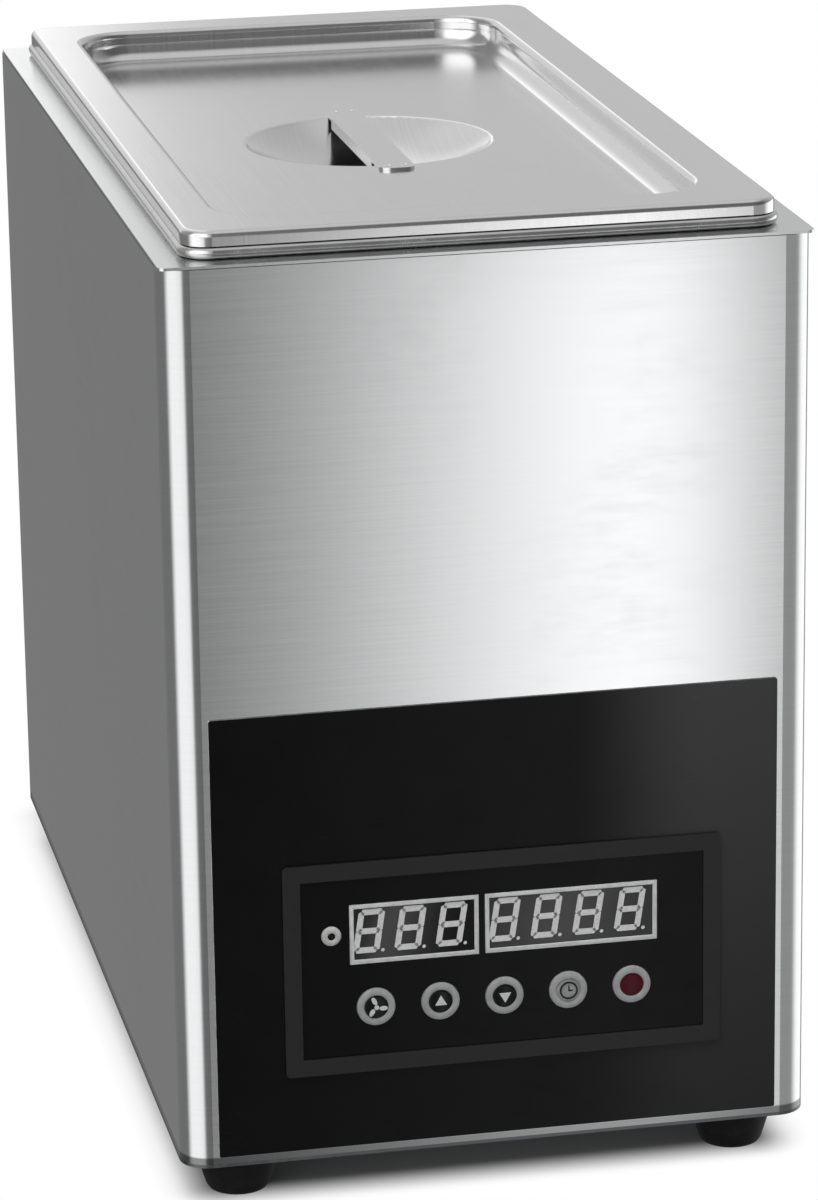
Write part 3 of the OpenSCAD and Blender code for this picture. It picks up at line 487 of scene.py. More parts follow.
def drawn_steel(name, colour, roughness, water=False):
    """Pressed or drawn stainless: smooth, faintly mottled, with scale where water stands."""
    finish = Finish(name, Metallic=1.0)
    tree = finish.tree
    cloud = mapped(tree, noise(tree, finish.place, 60.0, 4.0, 0.6), 0.3, 0.7)
    tone = mixed(tree, cloud, dimmed(colour, 0.9), colour)
    rough = plus(tree, times(tree, cloud, 0.07), roughness)
    if water:
        scale = finish.group(WATER_MARKS)["Mask"]
        tone = mixed(tree, scale, tone, (0.62, 0.61, 0.58))
        rough = plus(tree, rough, times(tree, scale, 0.3))
    finish.set("Base Color", tone)
    finish.set("Roughness", rough)
    finish.bump(noise(tree, finish.place, 900.0, 2.0), 0.006 * MM)
    return finish.material


def galvanised(name, colour):
    """Zinc sheet with its crystal pattern."""
    finish = Finish(name, Metallic=1.0)
    tree = finish.tree
    crystals = tree.nodes.new("ShaderNodeTexVoronoi")
    crystals.feature = "SMOOTH_F1"
    crystals.inputs["Scale"].default_value = 110.0
    tree.links.new(finish.place, crystals.inputs["Vector"])
    shade = mapped(tree, noise(tree, crystals.outputs["Position"], 400.0, 1.0), 0.3, 0.7)
    finish.set("Base Color", mixed(tree, shade, dimmed(colour, 0.78), colour))
    finish.set("Roughness", plus(tree, times(tree, shade, 0.14), 0.32))
    finish.bump(noise(tree, finish.place, 300.0, 3.0), 0.01 * MM)
    return finish.material


def worn_metal(name, colour, bright, roughness):
    """Plated or bare fitting metal, a little tarnished and bright on its rubbed edges."""
    finish = Finish(name, Metallic=1.0)
    tree = finish.tree
    cloud = mapped(tree, noise(tree, finish.place, 220.0, 4.0, 0.6), 0.32, 0.68)
    rubbed = times(tree, finish.group(EDGE_WEAR, Width=0.35 * MM)["Mask"], 0.5)
    tone = mixed(tree, cloud, dimmed(colour, 0.72), colour)
    finish.set("Base Color", mixed(tree, rubbed, tone, bright))
    rough = plus(tree, times(tree, cloud, 0.12), roughness)
    finish.set("Roughness", math_node(tree, "SUBTRACT", rough, times(tree, rubbed, 0.12)))
    finish.bump(noise(tree, finish.place, 1400.0, 2.0), 0.008 * MM)
    return finish.material


def plastic(name, colour, roughness, grain=0.006, grain_scale=1800.0, wear=0.35, light=0.06, **shader):
    """Moulded plastic with a fine grain, and edges rubbed a little lighter."""
    finish = Finish(name, Metallic=0.0, **shader)
    tree = finish.tree
    texture = finish.group(MOULDED_GRAIN, Scale=grain_scale)
    rubbed = times(tree, finish.group(EDGE_WEAR, Width=0.5 * MM)["Mask"], wear)
    smudges = finish.group(HANDLING_MARKS, Scale=26.0)["Mask"]
    tone = mixed(tree, texture["Tone"], dimmed(colour, 0.86), colour)
    finish.set("Base Color", mixed(tree, rubbed, tone, lifted(colour, light)))
    rough = plus(tree, times(tree, texture["Tone"], 0.05), roughness)
    finish.set("Roughness", plus(tree, rough, times(tree, smudges, 0.10)))
    finish.bump(texture["Height"], grain * MM)
    return finish.material


def rubber(name, colour):
    """Matt rubber with a bloom of dust low down."""
    finish = Finish(name, Metallic=0.0, Specular_IOR_Level=0.12)
    tree = finish.tree
    texture = finish.group(MOULDED_GRAIN, Scale=900.0)
    low = mapped(tree, axes_of(tree, finish.place)["Z"], 0.016, 0.0)
    dust = times(tree, low, mapped(tree, noise(tree, finish.place, 120.0, 4.0), 0.4, 0.7))
    tone = mixed(tree, texture["Tone"], dimmed(colour, 0.8), colour)
    finish.set("Base Color", mixed(tree, times(tree, dust, 0.12), tone, (0.16, 0.155, 0.15)))
    finish.set("Roughness", plus(tree, times(tree, dust, 0.15), 0.62))
    finish.bump(texture["Height"], 0.02 * MM)
    return finish.material


def heated_sheath(name):
    """Heater tube: dark oxide with straw and blue tints, and pale scale."""
    finish = Finish(name, Metallic=1.0)
    tree = finish.tree
    tint = mapped(tree, noise(tree, finish.place, 14.0, 3.0), 0.35, 0.65)
    scale = finish.group(WATER_MARKS)["Mask"]
    oxide = mixed(tree, tint, (0.20, 0.17, 0.13), (0.19, 0.20, 0.23))
    finish.set("Base Color", mixed(tree, scale, oxide, (0.45, 0.43, 0.39)))
    finish.set("Roughness", plus(tree, times(tree, scale, 0.3), 0.42))
    finish.bump(noise(tree, finish.place, 500.0, 4.0), 0.02 * MM)
    return finish.material


def screen_print(name, colour, roughness=0.4, glow=0.0):
    """Printed or lit mark, slightly uneven as ink or a light pipe is."""
    finish = Finish(name, Metallic=0.0, Roughness=roughness, Emission_Strength=glow)
    tree = finish.tree
    cloud = mapped(tree, noise(tree, finish.place, 700.0, 3.0), 0.3, 0.7)
    tone = mixed(tree, cloud, dimmed(colour, 0.88), colour)
    finish.set("Base Color", tone)
    if glow:
        finish.set("Emission Color", tone)
    finish.bump(cloud, 0.004 * MM)
    return finish.material


def gloss_film(name, colour, roughness, shine=0.5, painted_sheen=0.0):
    """Black film or lacquer: deep colour, faint ripple, wipe marks, and at a given level a painted sheen
    lighter towards the right and the top.
    """
    finish = Finish(name, Metallic=0.0, Specular_IOR_Level=shine)
    tree = finish.tree
    smudges = finish.group(HANDLING_MARKS, Scale=22.0)["Mask"]
    rubbed = times(tree, finish.group(EDGE_WEAR, Width=0.5 * MM)["Mask"], 0.5)
    cloud = mapped(tree, noise(tree, finish.place, 40.0, 3.0), 0.3, 0.7)
    tone = mixed(tree, cloud, dimmed(colour, 0.8), colour)
    if painted_sheen:
        # Painted reflection: the colour is lifted towards the right and the top of the piece, standing in for
        # a bright light mirrored there.
        axes = axes_of(tree, finish.place)
        painted_reflection = times(tree, mapped(tree, axes["X"], 0.03, 0.09), mapped(tree, axes["Z"], 0.0, 0.28, 0.3, 1.0))
        tone = mixed(tree, painted_reflection, tone, (painted_sheen, painted_sheen, painted_sheen))
    finish.set("Base Color", mixed(tree, rubbed, tone, lifted(colour, 0.03)))
    finish.set("Roughness", plus(tree, times(tree, smudges, 0.10), roughness))
    finish.bump(noise(tree, finish.place, 90.0, 2.0), 0.006 * MM)
    return finish.material


# ---- finishes, one for each slot of the record and a few for printed or lit parts ----

ACROSS_Z = (14.0, 14.0, 3200.0)
ACROSS_X = (3200.0, 14.0, 14.0)

FINISHES = {
    # cabinet_steel is darkened below 25 mm, a painted shade along the sheet's foot.
    "cabinet_steel": brushed_steel("cabinet_steel", (0.63, 0.635, 0.64), 0.13, ACROSS_Z, painted_shade_height=25 * MM),
    "deck_steel": brushed_steel("deck_steel", (0.68, 0.685, 0.69), 0.20, ACROSS_X),
    # Dull zinc, darkened far below bare zinc as a painted shade so that the base's edge reads as the dark
    # line under the cabinet.
    "base_steel": galvanised("base_steel", (0.12, 0.125, 0.13)),
    "tank_steel": drawn_steel("tank_steel", (0.66, 0.66, 0.655), 0.20, water=True),
    "lid_steel": brushed_steel("lid_steel", (0.72, 0.72, 0.72), 0.14, ACROSS_X),
    "basket_wire": drawn_steel("basket_wire", (0.70, 0.70, 0.70), 0.16),
    "foot_rubber": rubber("foot_rubber", (0.006, 0.006, 0.0064)),
    "zinc_fasteners": worn_metal("zinc_fasteners", (0.62, 0.62, 0.60), (0.78, 0.78, 0.76), 0.28),
    "heater_sheath": heated_sheath("heater_sheath"),
    "silicone_seal": plastic("silicone_seal", (0.42, 0.07, 0.04), 0.45, wear=0.1),
    "brass_fittings": worn_metal("brass_fittings", (0.64, 0.45, 0.19), (0.86, 0.68, 0.36), 0.26),
    "probe_steel": drawn_steel("probe_steel", (0.66, 0.66, 0.66), 0.20),
    "limiter_phenolic": plastic("limiter_phenolic", (0.035, 0.030, 0.028), 0.42),
    "lever_vinyl": plastic("lever_vinyl", (0.50, 0.035, 0.025), 0.36, grain=0.004, light=0.12),
    # The black plate gets a painted reflection, lighter towards its right.
    "black_plate": gloss_film("black_plate", (0.0040, 0.0040, 0.0043), 0.22, shine=0.07, painted_sheen=0.048),
    "bezel_plastic": plastic("bezel_plastic", (0.010, 0.010, 0.011), 0.42, light=0.03,
                             Specular_IOR_Level=0.25),
    "face_plastic": gloss_film("face_plastic", (0.0032, 0.0032, 0.0035), 0.20, shine=0.07),
    "display_plastic": plastic("display_plastic", (0.54, 0.545, 0.55), 0.38, grain=0.002),
    "lamp_lens": plastic("lamp_lens", (0.46, 0.46, 0.45), 0.30, grain=0.001),
    "key_plastic": plastic("key_plastic", (0.30, 0.303, 0.306), 0.36, grain=0.002),
    "board_laminate": plastic("board_laminate", (0.02, 0.12, 0.05), 0.40, grain=0.01, grain_scale=700.0),
    "black_nylon": plastic("black_nylon", (0.020, 0.020, 0.021), 0.46),
    "transformer_core": worn_metal("transformer_core", (0.22, 0.23, 0.24), (0.5, 0.5, 0.5), 0.42),
    "relay_plastic": plastic("relay_plastic", (0.72, 0.69, 0.60), 0.42, light=0.1),
    "heatsink_aluminium": worn_metal("heatsink_aluminium", (0.72, 0.72, 0.73), (0.85, 0.85, 0.86), 0.32),
}
SCREEN = gloss_film("display_screen", (0.004, 0.004, 0.0045), 0.16, shine=0.4)
HAZY_SCREEN = gloss_film("hazy_screen", (0.020, 0.020, 0.021), 0.30)
LIT_SEGMENT = screen_print("lit_segment", (0.50, 0.505, 0.50), 0.4, glow=0.14)
PRINT_GREY = screen_print("printed_mark", (0.55, 0.56, 0.56))
KEY_WELL = gloss_film("key_well", (0.005, 0.005, 0.0053), 0.26, shine=0.15)
KEY_SILVER = plastic("key_silver", (0.27, 0.27, 0.27), 0.34, grain=0.002)
KEY_RED = plastic("key_red", (0.055, 0.002, 0.005), 0.34, grain=0.002, light=0.01, Specular_IOR_Level=0.15)
PLATE_EDGE = worn_metal("plate_edge", (0.70, 0.70, 0.70), (0.85, 0.85, 0.85), 0.30)

for cad_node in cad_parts.values():
    for place in cad_node.material_slots:
        place.material = FINISHES[place.material.name]


# ---- control panel ----

FRONT = middle_of("front_plate").y
OUTWARD = (0.0, -1.0, 0.0)


def softened(node, body, slot, width, segments=2):
    """A CAD node with its edges rounded, standing for the node."""
    piece = round_edges(merged_copy(node, node + "_finish"), width, segments)
    paint(piece, FINISHES[slot])
    return mount(piece, body, slot, node)


KEY_PROFILE = [(0, -7.9), (2.9, -7.9), (2.9, -4.6), (9.2, -4.6), (9.3, -4.4), (9.3, -3.7), (8.1, -3.6),
               (8.1, -0.85), (8.0, -0.6), (7.7, -0.4), (6.9, -0.2), (6.1, -0.15), (5.5, -0.28), (5.25, -0.5),
               (5.1, -0.8), (4.9, -0.66), (4.0, -0.42), (2.8, -0.2), (1.5, -0.06), (0, 0)]
WELL_R = 5.17 * MM


def key_cap(name, well):
    """Turned key cap: a silver ring round a shallow well of another colour."""
    node = "key_" + name
    low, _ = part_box(node)
    middle = middle_of(node)
    front = Vector((middle.x, low[1], middle.z))
    cap = spun(node + "_cap", [(r * MM, h * MM) for r, h in KEY_PROFILE], front, OUTWARD, 72)
    paint(cap, FINISHES["key_plastic"], well)
    paint_where(cap, 1, lambda at, normal: normal.y < -0.5 and (at - front).xz.length < WELL_R)
    mount(cap, node, "key_plastic", node)
    return front


def raised_mark(name, body, pieces, finish):
    """Small marks raised on a key or the panel, with their edges just broken."""
    mark = joined(name, pieces)
    round_edges(mark, 0.06 * MM, 1)
    paint(mark, finish)
    return mount(mark, body, "key_plastic")


def arrow(front, up):
    """Triangle that points up or down."""
    turn = FACING_FRONT if up else (math.pi / 2, math.pi, 0)
    tip = prism("arrow", 3, 2.9 * MM, 0.5 * MM, front + Vector((0, 0.05 * MM, 0)), turn)
    return [tip]


def propeller(front):
    """Three blades round a hub, for the settings key."""
    parts = [prism("hub", 24, 1.0 * MM, 0.5 * MM, front + Vector((0, 0.04 * MM, 0)), FACING_FRONT)]
    for k in range(3):
        angle = math.tau * k / 3 + 0.5
        blade = prism("blade", 20, 1.55 * MM, 0.5 * MM, front + Vector((0, 0.10 * MM, 0)), FACING_FRONT)
        edit(blade)
        bpy.ops.mesh.select_all(action="SELECT")
        bpy.ops.transform.resize(value=(0.62, 1, 1.15), center_override=front)
        bpy.ops.transform.translate(value=(0.5 * MM, 0, 2.9 * MM))
        bpy.ops.transform.rotate(value=angle, orient_axis="Y", center_override=front)
        leave()
        parts.append(blade)
    return parts


def clock(front):
    """Ring and two hands, for the timer key."""
    ring = spun("clock_ring", [(r * MM, h * MM) for r, h in
                ((3.2, -0.4), (3.9, -0.4), (3.9, 0.06), (3.2, 0.10), (3.2, -0.4))], front, OUTWARD, 40)
    hands = [block("hand", front + Vector((-0.3, -0.12, 0)) * MM, front + Vector((0.3, 0.3, 2.3)) * MM),
             block("hand", front + Vector((-0.3, -0.12, -0.3)) * MM, front + Vector((1.7, 0.3, 0.3)) * MM)]
    return [ring] + hands


fronts = {name: key_cap(name, well) for name, well in (
    ("settings", KEY_WELL), ("up", KEY_WELL), ("down", KEY_WELL), ("timer", KEY_SILVER), ("power", KEY_RED))}
raised_mark("settings_mark", "key_settings", propeller(fronts["settings"]), PRINT_GREY)
raised_mark("up_mark", "key_up", arrow(fronts["up"], True), PRINT_GREY)
raised_mark("down_mark", "key_down", arrow(fronts["down"], False), PRINT_GREY)
raised_mark("timer_mark", "key_timer", clock(fronts["timer"]), KEY_WELL)


# Seven-segment digits: width, height, bar thickness, point radius and slant
DIGIT_W, DIGIT_H, BAR, POINT_R = 11.2 * MM, 19.2 * MM, 2.5 * MM, 0.75 * MM
DIGIT_SLANT = math.tan(math.radians(9))
FRAME_BORDER, SCREEN_DEPTH = 1.8 * MM, 0.6 * MM


def digit_bar(place, length, upright):
    """One segment: a flat bar with pointed ends."""
    bar = prism("bar", 6, BAR / 2 / math.cos(math.pi / 6), 0.3 * MM, (0, 0, 0), (math.pi / 2, math.pi / 6, 0))
    stretch = (length - BAR) / 2
    for side in (-1, 1):
        bpy.ops.object.mode_set(mode="EDIT")
        choose_points(bar, lambda at: at.x * side > 0.2 * BAR)
        bpy.ops.transform.translate(value=(side * stretch, 0, 0))
        leave()
    turn = Matrix.Rotation(math.pi / 2, 4, "Y") if upright else Matrix.Identity(4)
    bar.data.transform(Matrix.Translation(place) @ turn)
    return bar


def one_digit():
    """Seven segments and a point, standing on the origin."""
    half, reach = DIGIT_W / 2, DIGIT_H / 2
    across = DIGIT_W - 0.9 * BAR
    along = reach - 0.35 * BAR
    edge_x = half - BAR / 2
    bars = [digit_bar((0, 0, z), across, False) for z in (BAR / 2, reach, DIGIT_H - BAR / 2)]
    bars += [digit_bar((side * edge_x, 0, reach + level * (reach - BAR / 2) / 2), along, True)
             for side in (-1, 1) for level in (-1, 1)]
    bars.append(prism("point", 12, POINT_R, 0.3 * MM, (half + 2 * POINT_R, 0, POINT_R), FACING_FRONT))
    digit = joined("digit", bars)
    digit.data.transform(Matrix(((1, 0, DIGIT_SLANT, 0), (0, 1, 0, 0), (0, 0, 1, 0), (0, 0, 0, 1))))
    return digit


def display(name, digits, pitch, screen):
    """Display module: a raised light frame, a sunk black screen and its digits."""
    node = name + "_display"
    low, high = (Vector(corner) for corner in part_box(node))
    case = block(node + "_case", low, high)
    edit(case)
    choose_faces(case, lambda at, normal: normal.y < -0.9)
    bpy.ops.mesh.inset(thickness=FRAME_BORDER)
    bpy.ops.mesh.extrude_region_move(TRANSFORM_OT_translate={"value": (0, SCREEN_DEPTH, 0)})
    leave()
    paint(case, FINISHES["display_plastic"], screen)
    screen_y = low.y + SCREEN_DEPTH
    round_edges(case, 0.18 * MM)
    paint_where(case, 1, lambda at, normal: normal.y < -0.9 and at.y > screen_y - 0.1 * MM)
    mount(case, "cabinet", "display_plastic", node)

    middle = (low + high) / 2
    first = one_digit()
    corner = middle - Vector((DIGIT_SLANT * DIGIT_H / 2 + 1.6 * MM, 0, DIGIT_H / 2 - 1.1 * MM))
    places = [Vector((corner.x + (k - (digits - 1) / 2) * pitch, screen_y, corner.z)) for k in range(digits)]
    rows = [copied(first, place) for place in places]
    bpy.data.objects.remove(first)
    lit = joined(name + "_digits", rows)
    paint(lit, LIT_SEGMENT)
    mount(lit, "cabinet", "display_plastic")


display("temperature", 3, 17.5 * MM, SCREEN)
display("timer", 4, 17.9 * MM, HAZY_SCREEN)


def lamp():
    """Pilot lamp: a light ring round a small dark lens, unlit."""
    low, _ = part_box("heating_lamp")
    middle = middle_of("heating_lamp")
    front = Vector((middle.x, low[1], middle.z))
    profile = [(0, -13), (2.5, -13), (2.5, -2.4), (4.2, -2.4), (4.2, -1.1), (4.0, -0.7), (3.4, -0.25),
               (2.6, 0), (1.9, -0.15), (1.55, -0.5), (1.45, -0.9), (1.2, -0.7), (0.7, -0.5), (0, -0.45)]
    body = spun("heating_lamp_lens", [(r * MM, h * MM) for r, h in profile], front, OUTWARD, 48)
    paint(body, FINISHES["lamp_lens"], KEY_WELL)
    paint_where(body, 1, lambda at, normal: (at - front).xz.length < 1.5 * MM and normal.y < 0)
    mount(body, "cabinet", "lamp_lens", "heating_lamp")


lamp()
softened("control_bezel", "cabinet", "bezel_plastic", 0.45 * MM, 3)
plate = softened("front_plate", "cabinet", "black_plate", 0.22 * MM)
plate.data.materials.append(PLATE_EDGE)
paint_where(plate, 1, lambda at, normal: normal.y > -0.5)


# ---- lid ----

def spot_welds(name, body, slot, places, radius):
    """Shallow round weld marks on a face that looks up."""
    profile = [(0, 0.05), (radius / MM * 0.55, 0.10), (radius / MM * 0.8, 0.22), (radius / MM, 0.12),
               (radius / MM * 1.12, -0.05), (0, -0.08)]
    marks = [spun("weld", [(r * MM, h * MM) for r, h in profile], place, (0, 0, 1), 20) for place in places]
    welds = joined(name, marks)
    paint(welds, FINISHES[slot])
    return mount(welds, body, slot)


softened("lid_strap", "lid", "lid_steel", 0.35 * MM)
strap_low, strap_high = (Vector(corner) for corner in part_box("lid_strap"))
strap_mid = (strap_low + strap_high) / 2
spot_welds("strap_welds", "lid", "lid_steel", [
    Vector((strap_mid.x + side * 3.6 * MM, end * (strap_high.y - strap_mid.y - 5.5 * MM) + strap_mid.y,
            strap_high.z)) for side in (-1, 1) for end in (-1, 1)], 1.6 * MM)


# ---- drain and earth fittings ----

THREAD_STEPS = 28    # for each turn


def thread_ridge(name, start, axis, root, crest, pitch, turns):
    """Helical ridge of a thread: a small triangle wound round Z, then laid along the axis."""
    corners = [(root, 0), (crest, pitch * 0.40), (crest, pitch * 0.52), (root, pitch * 0.92), (root, 0)]
    ridge = draw_line(name, [(r, 0, h) for r, h in corners])
    edit(ridge)
    merge_points()
    leave()
    give(ridge, "SCREW", axis="Z", angle=math.tau, screw_offset=pitch, iterations=turns, steps=THREAD_STEPS,
         render_steps=THREAD_STEPS, use_merge_vertices=True, merge_threshold=WELD)
    edit(ridge)
    merge_points()
    bpy.ops.mesh.fill_holes(sides=6)
    bpy.ops.mesh.select_all(action="SELECT")
    bpy.ops.mesh.normals_make_consistent(inside=False)
    leave()
    turn = Vector((0, 0, 1)).rotation_difference(Vector(axis)).to_matrix().to_4x4()
    ridge.data.transform(Matrix.Translation(start) @ turn)
    return smooth(ridge)


def drain_outlet():
    """Valve end with its outlet turned down and a pipe thread wound on it."""
    _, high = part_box("valve_end")
    middle = middle_of("valve_end")
    crest, root, pitch, length = 10.48 * MM, 9.35 * MM, 1.81 * MM, 13.0 * MM
    piece = merged_copy("valve_end", "valve_end_finish")
    edit(piece)
    choose_points(piece, lambda at: at.y > high[1] - 15.5 * MM
                  and abs((at - middle).xz.length - crest) < 0.05 * MM)
    bpy.ops.transform.resize(value=(root / crest, 1, root / crest), center_override=middle)
    leave()
    start = Vector((middle.x, high[1] - length, middle.z))
    ridge = thread_ridge("outlet_thread", start, (0, 1, 0), root - 0.05 * MM, crest, pitch, 6)
    piece = joined("valve_end_finish", [piece, ridge])
    paint(piece, FINISHES["brass_fittings"])
    mount(piece, "cabinet", "brass_fittings", "valve_end")


def earth_bolt():
    """Earth stud with its open end threaded."""
    low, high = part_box("earth_stud")
    middle = middle_of("earth_stud")
    crest, root, pitch, length = 3.0 * MM, 2.45 * MM, 1.0 * MM, 13.0 * MM
    start = Vector((middle.x, low[1], middle.z))
    reach = high[1] - low[1]
    shoulder = reach - length
    profile = [(0, 0), (crest, 0), (crest, shoulder), (root, shoulder + 0.4 * MM), (root, reach - 0.5 * MM),
               (root - 0.4 * MM, reach), (0, reach)]
    shank = spun("earth_shank", profile, start, (0, 1, 0), 40)
    ridge = thread_ridge("earth_thread", start + Vector((0, shoulder + 0.3 * MM, 0)), (0, 1, 0),
                         root - 0.05 * MM, crest, pitch, 12)
    stud = joined("earth_stud_finish", [shank, ridge])
    paint(stud, FINISHES["brass_fittings"])
    mount(stud, "cabinet", "brass_fittings", "earth_stud")


drain_outlet()
earth_bolt()
for fitting, width in (("valve_body", 0.3), ("pipe_locknut", 0.35), ("earth_nuts", 0.25),
                       ("heater_nuts", 0.3), ("probe_nut", 0.25)):
    softened(fitting, "cabinet", "brass_fittings", width * MM)
softened("drain_lever", "drain_handle", "probe_steel", 0.3 * MM)
softened("lever_grip", "drain_handle", "lever_vinyl", 0.6 * MM, 3)
softened("lever_nut", "drain_handle", "zinc_fasteners", 0.25 * MM)
softened("cable_gland", "cabinet", "black_nylon", 0.3 * MM)
softened("gland_cap", "cabinet", "black_nylon", 0.3 * MM)


# ---- camera, floor and light ----

CAMERA_PLACE = (-0.4214, -2.1877, 0.8515)
CAMERA_TURNS = (11.39, 16.80, -0.84)    # degrees to the right, downwards and rolled
LENS, SENSOR = 150.18, 36               # millimetres


def studio_camera():
    """The photograph's view: long lens, a little above and to the left, slightly rolled."""
    yaw, pitch, roll = (math.radians(angle) for angle in CAMERA_TURNS)
    forward = Vector((math.sin(yaw) * math.cos(pitch), math.cos(yaw) * math.cos(pitch), -math.sin(pitch)))
    level = Vector((math.cos(yaw), -math.sin(yaw), 0))
    upright = level.cross(forward)
    right = level * math.cos(roll) + upright * math.sin(roll)
    up = upright * math.cos(roll) - level * math.sin(roll)
    data = bpy.data.cameras.new("photo_camera")
    data.sensor_width = SENSOR
    data.lens = LENS
    data.clip_end = 60
    camera = bpy.data.objects.new("photo_camera", data)
    bpy.context.collection.objects.link(camera)
    turn = Matrix((right, up, -forward)).transposed().to_4x4()
    camera.matrix_world = Matrix.Translation(CAMERA_PLACE) @ turn
    bpy.context.scene.camera = camera


def aimed_lamp(name, place, size, watts):
    """Soft square lamp aimed at the middle of the object, seen only by what it lights."""
    data = bpy.data.lights.new(name, "AREA")
    data.shape = "SQUARE"
    data.size = size
    data.energy = watts
    lamp_object = bpy.data.objects.new(name, data)
    bpy.context.collection.objects.link(lamp_object)
    lamp_object.location = place
    lamp_object.rotation_euler = (Vector((0, 0, 0.2)) - Vector(place)).to_track_quat("-Z", "Y").to_euler()
    lamp_object.visible_glossy = False
    lamp_object.visible_camera = False


def ramp(tree, value, stops):
    """Grey ramp; stops are (position, brightness)."""
    made = tree.nodes.new("ShaderNodeValToRGB")
    points = made.color_ramp.elements
    points[0].position, points[1].position = stops[0][0], stops[-1][0]
    for position, _ in stops[1:-1]:
        points.new(position)
    for point, (_, level) in zip(points, stops):
        point.color = (level, level, level, 1)
    tree.links.new(value, made.inputs[0])
    return made.outputs[0]


# Brightness of the studio as shiny surfaces see it, below the horizon and above it:
# (degrees to the right of the front, level)
LOW_WALL = ((-180, 0.23), (-60, 0.23), (0, 0.3), (54, 0.40), (66, 0.45), (136, 0.30), (180, 0.23))
HIGH_WALL = ((-180, 1.0), (-172, 0.8), (-150, 0.85), (-138, 0.4), (-90, 0.3), (-74, 1.9), (-30, 1.9),
             (-12, 1.4), (2, 0.22), (20, 0.14), (60, 0.12), (120, 0.5), (160, 0.64), (171.4, 0.62),
             (172, 1.1), (173.5, 1.5), (177, 1.2), (180, 1.0))


def studio_world():
    """White to the camera, lit from above for matt surfaces, softboxes and dark flags for shiny ones."""
    world = bpy.data.worlds.new("studio")
    bpy.context.scene.world = world
    world.use_nodes = True
    tree = world.node_tree
    background = tree.nodes["Background"]
    axes = axes_of(tree, tree.nodes.new("ShaderNodeTexCoord").outputs["Generated"])
    azimuth = math_node(tree, "ARCTAN2", axes["X"], times(tree, axes["Y"], -1.0))
    turn = plus(tree, math_node(tree, "DIVIDE", azimuth, math.tau), 0.5)
    low_wall, high_wall = (
        ramp(tree, turn, [((angle + 180) / 360, level / 2) for angle, level in stops])
        for stops in (LOW_WALL, HIGH_WALL))
    rise = axes["Z"]
    wall = mixed(tree, mapped(tree, rise, -0.04, 0.06), low_wall, high_wall)
    shiny = mixed(tree, mapped(tree, rise, 0.72, 0.96), wall, (0.36, 0.36, 0.36))
    matt = mixed(tree, mapped(tree, rise, 0.35, 1.0), (0.004, 0.004, 0.004), (0.45, 0.45, 0.45))
    path = tree.nodes.new("ShaderNodeLightPath")
    seen = mixed(tree, path.outputs["Is Diffuse Ray"], shiny, matt)
    seen = mixed(tree, path.outputs["Is Camera Ray"], seen, (0.5, 0.5, 0.5))
    tree.links.new(seen, background.inputs["Color"])
    background.inputs["Strength"].default_value = 2.0


def stage_plane(name, size, place, turn=(0, 0, 0)):
    deselect()
    bpy.ops.mesh.primitive_plane_add(size=size, location=place, rotation=turn)
    plane = bpy.context.object
    plane.name = name
    return plane


def bare_material(plane):
    """Gives a stage plane a material without a shader; returns its tree and the plane's own axes."""
    material = bpy.data.materials.new(plane.name)
    material.use_nodes = True
    plane.data.materials.append(material)
    tree = material.node_tree
    tree.nodes.remove(tree.nodes["Principled BSDF"])
    return tree, axes_of(tree, tree.nodes.new("ShaderNodeTexCoord").outputs["Object"])


def show(tree, shader):
    tree.links.new(shader.outputs[0], tree.nodes["Material Output"].inputs["Surface"])


def past(tree, value, limit):
    """How far the value lies beyond the limit on either side of zero."""
    beyond = math_node(tree, "SUBTRACT", math_node(tree, "ABSOLUTE", value), limit)
    return math_node(tree, "MAXIMUM", beyond, 0.0)


SHADE_X, SHADE_Y, SHADE_FADE = 0.115, 0.245, 0.03    # half size of the shaded floor, and the fade round it


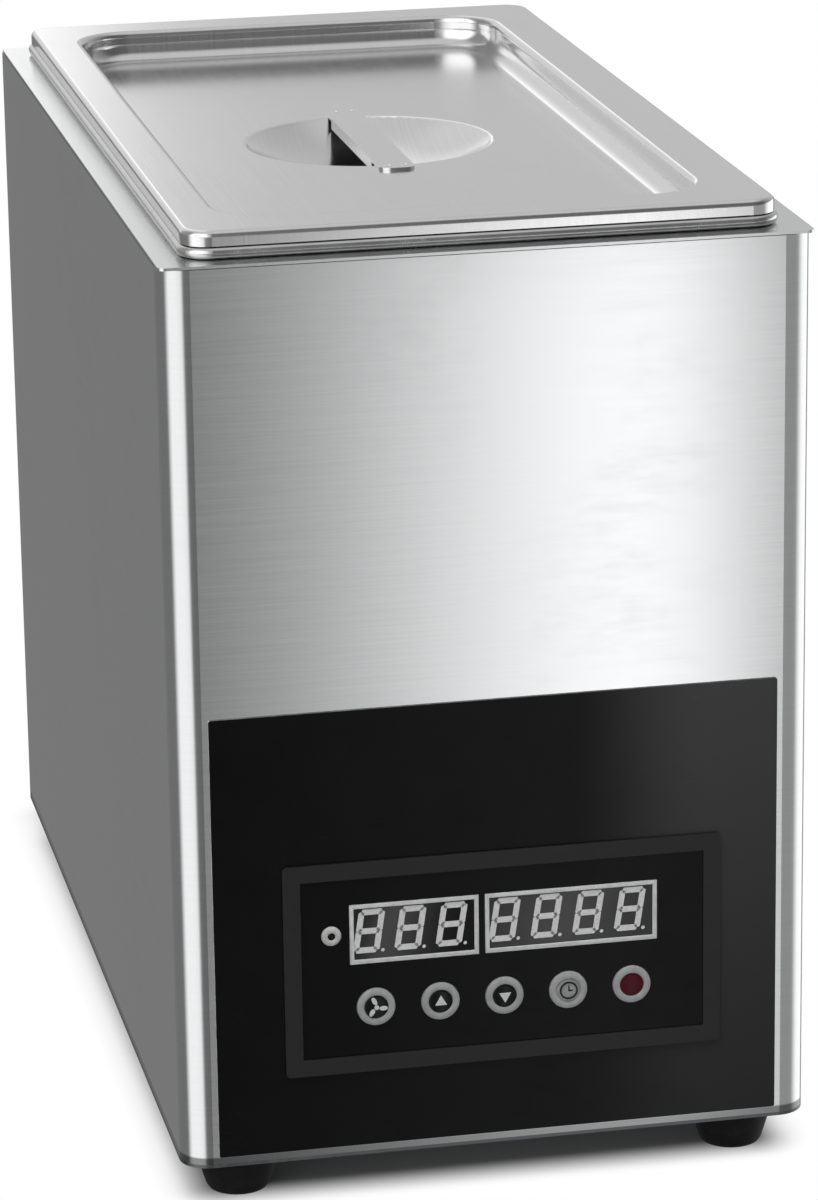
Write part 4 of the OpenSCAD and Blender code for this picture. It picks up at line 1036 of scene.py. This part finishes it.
def studio_floor():
    """Pale floor that keeps the shadow and runs out to white away from the object."""
    floor = stage_plane("studio_floor", 16, (0, 0, 0))
    floor.visible_glossy = False
    tree, axes = bare_material(floor)
    past_x = math_node(tree, "POWER", past(tree, axes["X"], SHADE_X), 2.0)
    past_y = math_node(tree, "POWER", past(tree, axes["Y"], SHADE_Y), 2.0)
    far = mapped(tree, math_node(tree, "SQRT", plus(tree, past_x, past_y)), 0.0, SHADE_FADE)
    path = tree.nodes.new("ShaderNodeLightPath")
    white = times(tree, far, path.outputs["Is Camera Ray"])
    matt = add_node(tree, "ShaderNodeBsdfDiffuse", Color=(0.55, 0.55, 0.55, 1))
    glow = add_node(tree, "ShaderNodeEmission", Color=(1, 1, 1, 1), Strength=1.0)
    blend = tree.nodes.new("ShaderNodeMixShader")
    tree.links.new(white, blend.inputs[0])
    tree.links.new(matt.outputs[0], blend.inputs[1])
    tree.links.new(glow.outputs[0], blend.inputs[2])
    show(tree, blend)


def glow_card(name, start, end, low, high, stops):
    """Upright card between two plan points, for shiny surfaces only; stops are (part of the way, level)."""
    start, end = Vector(start), Vector(end)
    along = end - start
    middle = (start + end) / 2
    card = stage_plane(name, 1, (middle.x, middle.y, (low + high) / 2),
                       (math.pi / 2, 0, math.atan2(along.y, along.x)))
    card.scale = (along.length, high - low, 1)
    card.visible_camera = False
    card.visible_diffuse = False
    card.visible_shadow = False
    card.visible_transmission = False
    tree, axes = bare_material(card)
    across = mapped_linear(tree, axes["X"], -0.5, 0.5)
    brightness = ramp(tree, across, [(part, level / 2) for part, level in stops])
    show(tree, add_node(tree, "ShaderNodeEmission", {"Color": brightness}, Strength=2.0))


def reflector_cards():
    """One card in front, brightest right of the middle, and one beside each bend of the cabinet."""
    front = FRONT - 0.8
    glow_card("front_card", (-0.9, front), (1.1, front), -1.74, 0.26, (
        (0, 1.40), (0.20, 1.30), (0.28, 0.22), (0.43, 0.17), (0.465, 0.42), (0.4825, 0.58), (0.51, 0.92),
        (0.54, 1.32), (0.565, 1.64), (0.585, 1.84), (0.60, 1.60), (0.615, 1.10), (0.63, 0.62), (0.66, 0.40),
        (1, 0.40)))
    glow_card("left_card", (-0.467, -0.248), (-0.334, -0.509), -0.25, 0.47,
              ((0, 0.22), (0.37, 1.4), (1, 1.4)))
    glow_card("right_card", (0.460, -0.409), (0.379, 0.003), -0.25, 0.47,
              ((0, 0.5), (0.36, 1.5), (0.83, 1.6), (1, 0.30)))


studio_camera()
studio_world()
studio_floor()
reflector_cards()
aimed_lamp("key_lamp", (-0.5, -1.0, 2.8), 1.2, 52)
aimed_lamp("fill_lamp", (1.0, -0.2, 2.4), 1.4, 27)
aimed_lamp("back_lamp", (0.0, 1.2, 2.4), 1.4, 27)

scene = bpy.context.scene
scene.view_settings.view_transform = "Standard"
